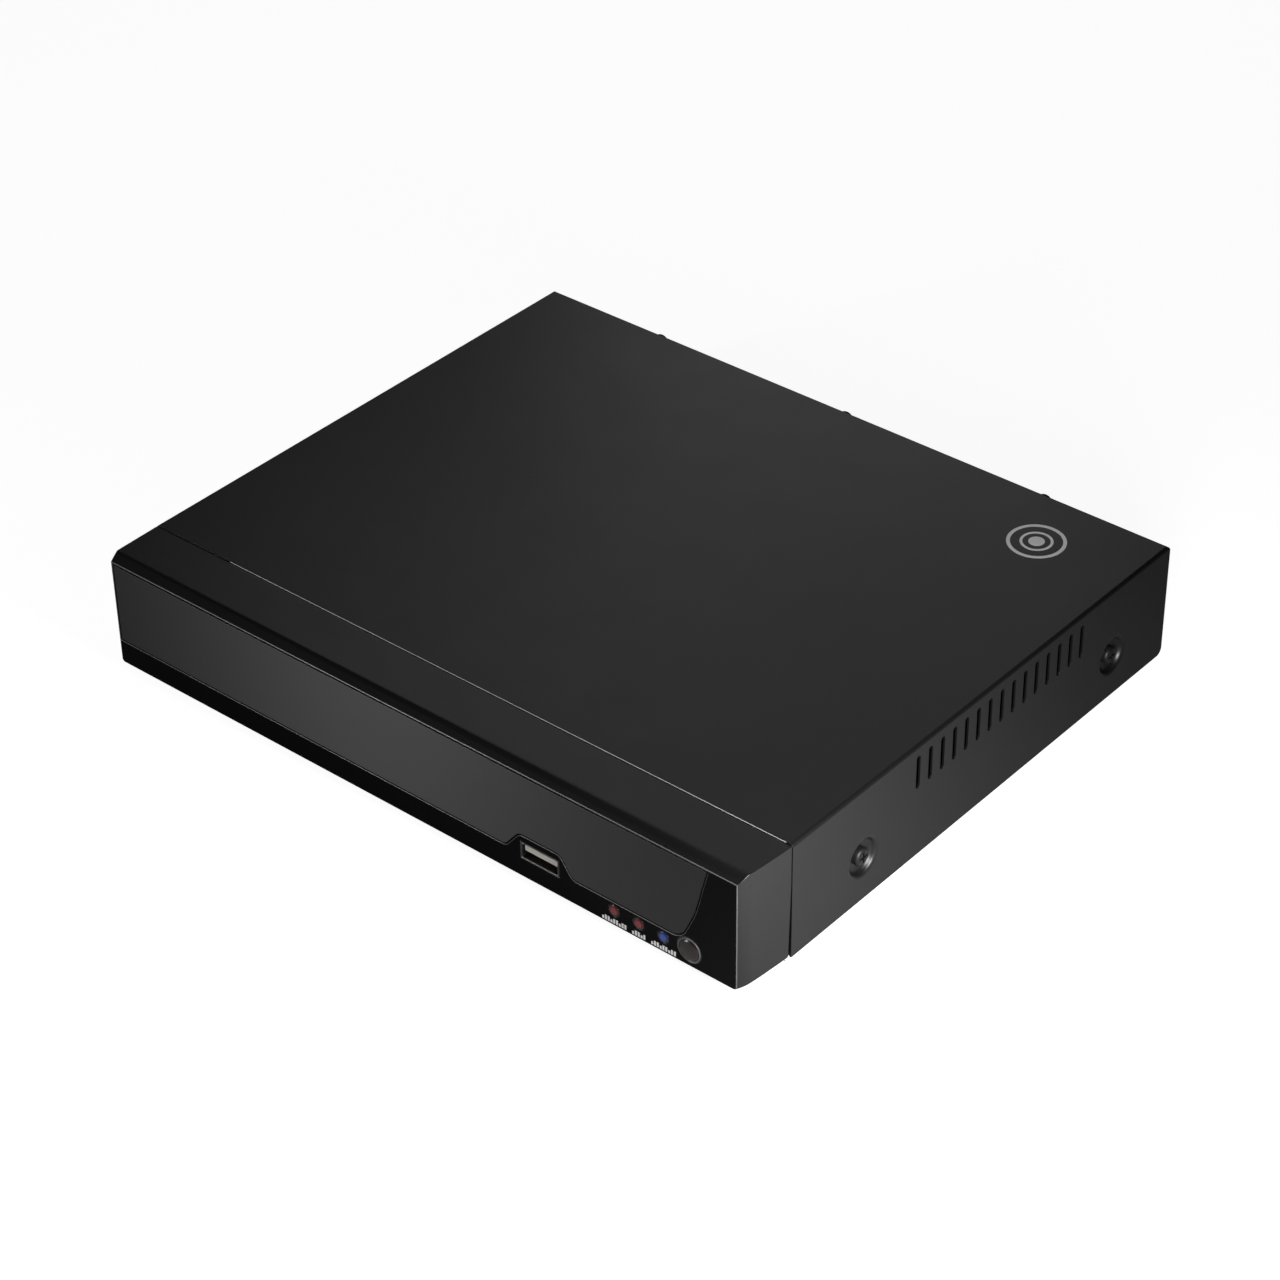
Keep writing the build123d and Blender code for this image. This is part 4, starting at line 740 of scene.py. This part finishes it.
@dataclass
class StatusLamp:
    """One round lamp: a domed end, darker round its edge by painted shade, and a stepped foot."""

    name: str
    centre: Vector
    radius: float
    length: float
    finish: Finish
    edge_shade_finish: Finish
    slot: str
    sides: int = 40
    dome: tuple[tuple[float, float], ...] = ((0.12, 0.06), (0.26, 0.05), (0.3, 0.03))
    foot_step: float = 0.2
    foot_drop: float = 0.3 * MM
    edge: float = 0.08 * MM
    unshaded_share: float = 0.72

    def build(self) -> bpy.types.Object:
        """Turn the lamp from a round bar: dome its front end and step its back.

        Returns:
            The finished lamp.
        """
        middle = self.centre + Vector((0, self.length / 2, 0))
        lamp = add_round(self.name, middle, self.radius, self.length, "Y", self.sides)
        activate(lamp)
        pick(lamp, lambda face: face.normal.y < -SQUARE_ON)
        for shrink, push in self.dome:
            bpy.ops.mesh.inset(thickness=self.radius * shrink, depth=0)
            bpy.ops.transform.translate(value=(0, -self.radius * push, 0))
        bpy.ops.object.mode_set(mode="OBJECT")
        pick(lamp, lambda face: face.normal.y > SQUARE_ON)
        bpy.ops.mesh.inset(thickness=self.radius * self.foot_step, depth=0)
        bpy.ops.transform.translate(value=(0, self.foot_drop, 0))
        bpy.ops.object.mode_set(mode="OBJECT")
        soften(lamp, self.edge)
        hand_over(lamp, self.slot, self.finish.material(), self.edge_shade_finish.material())
        # Faces outside the unshaded share of the radius take the darker copy of the resin: painted shade
        # round the dome's edge.
        for face in lamp.data.polygons:
            away = math.hypot(face.center.x - self.centre.x, face.center.z - self.centre.z)
            face.material_index = int(away > self.radius * self.unshaded_share)
        return lamp


@dataclass
class ReceiverLens:
    """The infrared window: a dark dome inside a rim that takes the painted edge highlight colour."""

    rim: float = 0.45 * MM
    steps: int = 7
    reach: float = 0.97  # how much of the way to its middle and its full height the dome is taken
    edge: float = 0.03 * MM
    rim_proud: float = 0.02 * MM

    def build(self) -> list[bpy.types.Object]:
        """Dome a disc by rings of insets, and turn the rim round it.

        Returns:
            The dome and its rim.
        """
        low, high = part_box("ir_lens")
        radius = (high.z - low.z) / 2
        centre = Vector(((low.x + high.x) / 2, 0, (low.z + high.z) / 2))
        face_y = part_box("front_bezel")[0].y
        body_back = high.y
        middle = Vector((centre.x, (face_y + body_back) / 2, centre.z))
        dome = add_round("receiver_lens", middle, radius - self.rim, body_back - face_y, "Y", 64)
        activate(dome)
        pick(dome, lambda face: face.normal.y < -SQUARE_ON)
        height = face_y - low.y
        for step in range(self.steps):
            near, far = step / self.steps, (step + 1) / self.steps
            rise = height * (math.sqrt(1 - (1 - far) ** 2) - math.sqrt(1 - (1 - near) ** 2))
            bpy.ops.mesh.inset(thickness=(radius - self.rim) / self.steps * self.reach, depth=0)
            bpy.ops.transform.translate(value=(0, -rise * self.reach, 0))
        bpy.ops.object.mode_set(mode="OBJECT")
        soften(dome, self.edge, 1, 60)
        deselect()
        bpy.ops.mesh.primitive_torus_add(
            location=(centre.x, face_y - self.rim_proud, centre.z),
            rotation=(math.pi / 2, 0, 0),
            major_radius=radius - self.rim / 2,
            minor_radius=self.rim / 2,
            major_segments=72,
            minor_segments=12,
        )
        rim = settle(named("receiver_rim"))
        activate(rim)
        bpy.ops.object.shade_smooth()
        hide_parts("ir_lens")
        hand_over(dome, "infrared_lens", LENS.material())
        # The rim takes the light grey painted highlight, standing for the light ring round the lens.
        hand_over(rim, "black_screw", EDGE_HIGHLIGHT_PAINT.material())
        return [dome, rim]


@dataclass
class FrontSocket:
    """The front USB socket: a thin shell with rolled lips, and contacts on its tongue."""

    skin: float = 0.35 * MM
    floor: float = 1.0 * MM
    lip: float = 0.12 * MM
    contacts: int = 4
    pitch: float = 2.5 * MM
    contact_width: float = 1.0 * MM
    contact_thickness: float = 0.12 * MM
    contact_start: float = 1.5 * MM
    contact_end: float = 2.0 * MM
    tongue_drop: float = 2.65 * MM  # the tongue's underside, below the shell's inner roof

    def build(self) -> list[bpy.types.Object]:
        """Hollow a block into the shell, roll its lips and lay the contacts.

        Returns:
            The shell and the contacts.
        """
        low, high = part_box("usb_front_shell")
        shell = add_block("front_usb_shell", low, high)
        activate(shell)
        pick(shell, lambda face: face.normal.y < -SQUARE_ON)
        bpy.ops.mesh.inset(thickness=self.skin, depth=0)
        deep = high.y - low.y - self.floor
        bpy.ops.mesh.extrude_region_move(TRANSFORM_OT_translate={"value": (0, deep, 0)})
        bpy.ops.object.mode_set(mode="OBJECT")
        soften(shell, self.lip, 3)
        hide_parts("usb_front_shell")
        hand_over(shell, "nickel", SOCKET_STEEL.material())
        strips = []
        top = high.z - self.skin - self.tongue_drop
        half = self.contact_width / 2
        for place in range(self.contacts):
            x = (low.x + high.x) / 2 + (place - (self.contacts - 1) / 2) * self.pitch
            strip_low = Vector((x - half, low.y + self.contact_start, top - self.contact_thickness))
            strip_high = Vector((x + half, high.y - self.contact_end, top))
            strips.append(add_block(f"contact_{place}", strip_low, strip_high))
        contacts = soften(join(strips, "front_usb_contacts"), 0.04 * MM, 1)
        hand_over(contacts, "gold_contact", BY_SLOT["gold_contact"].material())
        return [shell, contacts]


@dataclass
class LampMarks:
    """Tiny printed marks under the lamps: rows of plain bars."""

    height: float = 1.7 * MM
    bar: float = 0.7 * MM
    gap: float = 0.35 * MM
    ink: float = 0.04 * MM
    drop: float = 4.8 * MM
    counts: tuple[int, ...] = (9, 5, 9)
    short: float = 0.62  # every third bar is a short one

    def build(self, lamps: Iterable[Vector]) -> list[bpy.types.Object]:
        """Print a short row of bars under each lamp.

        Args:
            lamps: the lamps' centres on the face.

        Returns:
            One printed row for each lamp.
        """
        made = []
        for number, (centre, count) in enumerate(zip(lamps, self.counts)):
            bars = []
            width = count * (self.bar + self.gap) - self.gap
            for place in range(count):
                x = centre.x - width / 2 + place * (self.bar + self.gap)
                tall = self.height * (1.0 if place % 3 else self.short)
                low = Vector((x, centre.y - self.ink, centre.z - self.drop))
                high = Vector((x + self.bar, centre.y, centre.z - self.drop + tall))
                bars.append(add_block(f"bar_{number}_{place}", low, high))
            piece = join(bars, f"lamp_mark_{number + 1}")
            hand_over(piece, "bezel_plastic", INK.material())
            made.append(piece)
        return made


@dataclass
class FrontPanel:
    """Everything on the front, in order."""

    lamp_radius: float = 2.0 * MM

    def lamp_centres(self) -> list[Vector]:
        """Find the lamps' centres on the face from the CAD lamps.

        Returns:
            The two red centres and the blue one.
        """
        face_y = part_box("front_bezel")[0].y
        red_low, red_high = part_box("red_lamps")
        blue_low, blue_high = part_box("blue_lamp")
        z = (blue_low.z + blue_high.z) / 2
        flange = (blue_high.x - blue_low.x) / 2
        spots = (red_low.x + flange, red_high.x - flange, (blue_low.x + blue_high.x) / 2)
        return [Vector((x, face_y, z)) for x in spots]

    def build(self) -> None:
        """Build the moulding and every piece set into it."""
        FrontMoulding().build()
        WindowInlay().build()
        ReceiverLens().build()
        FrontSocket().build()
        centres = self.lamp_centres()
        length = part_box("front_board")[0].y - centres[0].y
        red = (RED_LAMP, RED_LAMP_EDGE_SHADE, "red_lamp")
        kinds = (red, red, (BLUE_LAMP, BLUE_LAMP_EDGE_SHADE, "blue_lamp"))
        for name, centre, kind in zip(("power", "disk", "network"), centres, kinds):
            StatusLamp(f"{name}_lamp", centre, self.lamp_radius, length, *kind).build()
        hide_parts("red_lamps")
        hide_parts("blue_lamp")
        LampMarks().build(centres)


# ---------------------------------------------------------------- carried-over pieces
class CarriedNodes:
    """CAD nodes that keep their own mesh and get a finish from their slot."""

    def dress(self) -> None:
        """Give every CAD node the finish of its slot."""
        slots = {row["node"]: row["material_slot"] for row in frame["record"]["subparts"]}
        for name, node in frame["nodes"].items():
            finish = BY_SLOT[slots[name]]
            node.data.materials.clear()
            node.data.materials.append(finish.material())
            LOG.info("%s: carried over in %s", name, finish.name)


# ---------------------------------------------------------------- the studio
@dataclass
class Camera:
    """The viewing position, in the object's frame."""

    place: Vector = field(default_factory=lambda: Vector((0.5833, -0.6883, 0.6523)))
    azimuth: float = 40.47
    elevation: float = 35.54
    roll: float = -0.79
    lens: float = 97.77
    sensor: float = 36.0

    def build(self) -> None:
        """Place the camera and make it the scene's."""
        data = bpy.data.cameras.new("view")
        data.lens = self.lens
        data.sensor_width = self.sensor
        data.clip_start = 0.01
        data.clip_end = 50
        camera = bpy.data.objects.new("view", data)
        bpy.context.scene.collection.objects.link(camera)
        turn = Matrix.Rotation(math.radians(self.azimuth), 4, "Z")
        turn = turn @ Matrix.Rotation(math.radians(90 - self.elevation), 4, "X")
        turn = turn @ Matrix.Rotation(math.radians(self.roll), 4, "Z")
        camera.matrix_world = Matrix.Translation(self.place) @ turn
        bpy.context.scene.camera = camera


@dataclass
class Softbox:
    """A rectangular studio light that looks at a point."""

    name: str
    place: Vector
    target: Vector
    size: tuple[float, float]
    power: float
    turn: float = 0.0
    tone: tuple[float, float, float] = (1.0, 1.0, 1.0)

    def build(self) -> None:
        """Hang the light."""
        data = bpy.data.lights.new(self.name, "AREA")
        data.shape = "RECTANGLE"
        data.size, data.size_y = self.size
        data.energy = self.power
        data.color = self.tone
        light = bpy.data.objects.new(self.name, data)
        bpy.context.scene.collection.objects.link(light)
        aim = (self.target - self.place).to_track_quat("-Z", "Y").to_matrix().to_4x4()
        light.matrix_world = Matrix.Translation(self.place) @ aim @ Matrix.Rotation(self.turn, 4, "Z")
        light.visible_camera = False


@dataclass
class Studio:
    """Pale floor, soft lights and a dark room."""

    floor_size: float = 8.0
    floor_white: float = 0.92
    floor_grey: float = 0.35
    floor_rough: float = 0.9
    room: float = 0.0
    front: Vector = field(default_factory=lambda: Vector((-0.02, -0.11, 0.03)))

    def build(self) -> None:
        """Lay the floor, light the room and hang the lights."""
        self._floor()
        self._room()
        for light in (
            Softbox("over_box", Vector((0.1, 0.1, 1.3)), Vector((0, 0, 0)), (0.8, 0.8), 0.54),
            Softbox("side_box", Vector((0.26, -0.12, 0.1)), Vector((0.16, -0.07, 0)), (0.1, 0.1), 0.78),
            Softbox("low_strip", Vector((-0.39, -0.66, 0.12)), self.front, (0.06, 0.22), 1.19),
            Softbox("tall_strip", Vector((-0.39, -0.66, 0.33)), self.front, (0.06, 0.6), 0.73),
            Softbox("rear_box", Vector((-0.212, 0.79, 0.736)), Vector((0, 0, 0)), (0.36, 0.3), 0.14),
            Softbox("rear_low_box", Vector((-0.524, 0.838, 0.482)), Vector((0, 0, 0)), (0.36, 0.3), 0.32),
            Softbox("left_rear_box", Vector((-0.607, 0.547, 0.736)), Vector((0, 0, 0)), (0.36, 0.3), 0.23),
        ):
            light.build()
        scene = bpy.context.scene
        scene.view_settings.view_transform = "Standard"
        scene.view_settings.look = "None"

    def _room(self) -> None:
        """Give the room one even tone."""
        world = bpy.data.worlds.new("room")
        world.use_nodes = True
        world.node_tree.nodes["Background"].inputs["Color"].default_value = (1, 1, 1, 1)
        world.node_tree.nodes["Background"].inputs["Strength"].default_value = self.room
        bpy.context.scene.world = world

    def _floor(self) -> None:
        """Lay a white floor that stays dim in the object's own reflections."""
        deselect()
        bpy.ops.mesh.primitive_plane_add(size=self.floor_size, location=(0, 0, 0))
        floor = named("floor")
        material = bpy.data.materials.new("floor_white")
        material.use_nodes = True
        nodes = Nodes(material.node_tree)
        shader = material.node_tree.nodes["Principled BSDF"]
        shader.inputs["Roughness"].default_value = self.floor_rough
        shader.inputs["Base Color"].default_value = (self.floor_grey, self.floor_grey, self.floor_grey, 1)
        glow = nodes.add("ShaderNodeEmission", Strength=self.floor_white)
        seen = nodes.add("ShaderNodeLightPath")
        mix = nodes.add("ShaderNodeMixShader")
        both = nodes.add("ShaderNodeAddShader")
        nodes.link(shader.outputs[0], both.inputs[0])
        nodes.link(glow.outputs[0], both.inputs[1])
        nodes.link(seen.outputs["Is Camera Ray"], mix.inputs[0])
        nodes.link(shader.outputs[0], mix.inputs[1])
        nodes.link(both.outputs[0], mix.inputs[2])
        nodes.link(mix.outputs[0], material.node_tree.nodes["Material Output"].inputs["Surface"])
        floor.data.materials.append(material)


def main() -> None:
    """Build the recorder's looks in order."""
    logging.basicConfig(level=logging.INFO, format="%(name)s: %(message)s")
    Camera().build()
    CarriedNodes().dress()
    SleeveCover().build()
    PaintedSeamHighlight().build()
    Mark().build()
    FrontPanel().build()
    Studio().build()


if __name__ == "__main__":
    main()
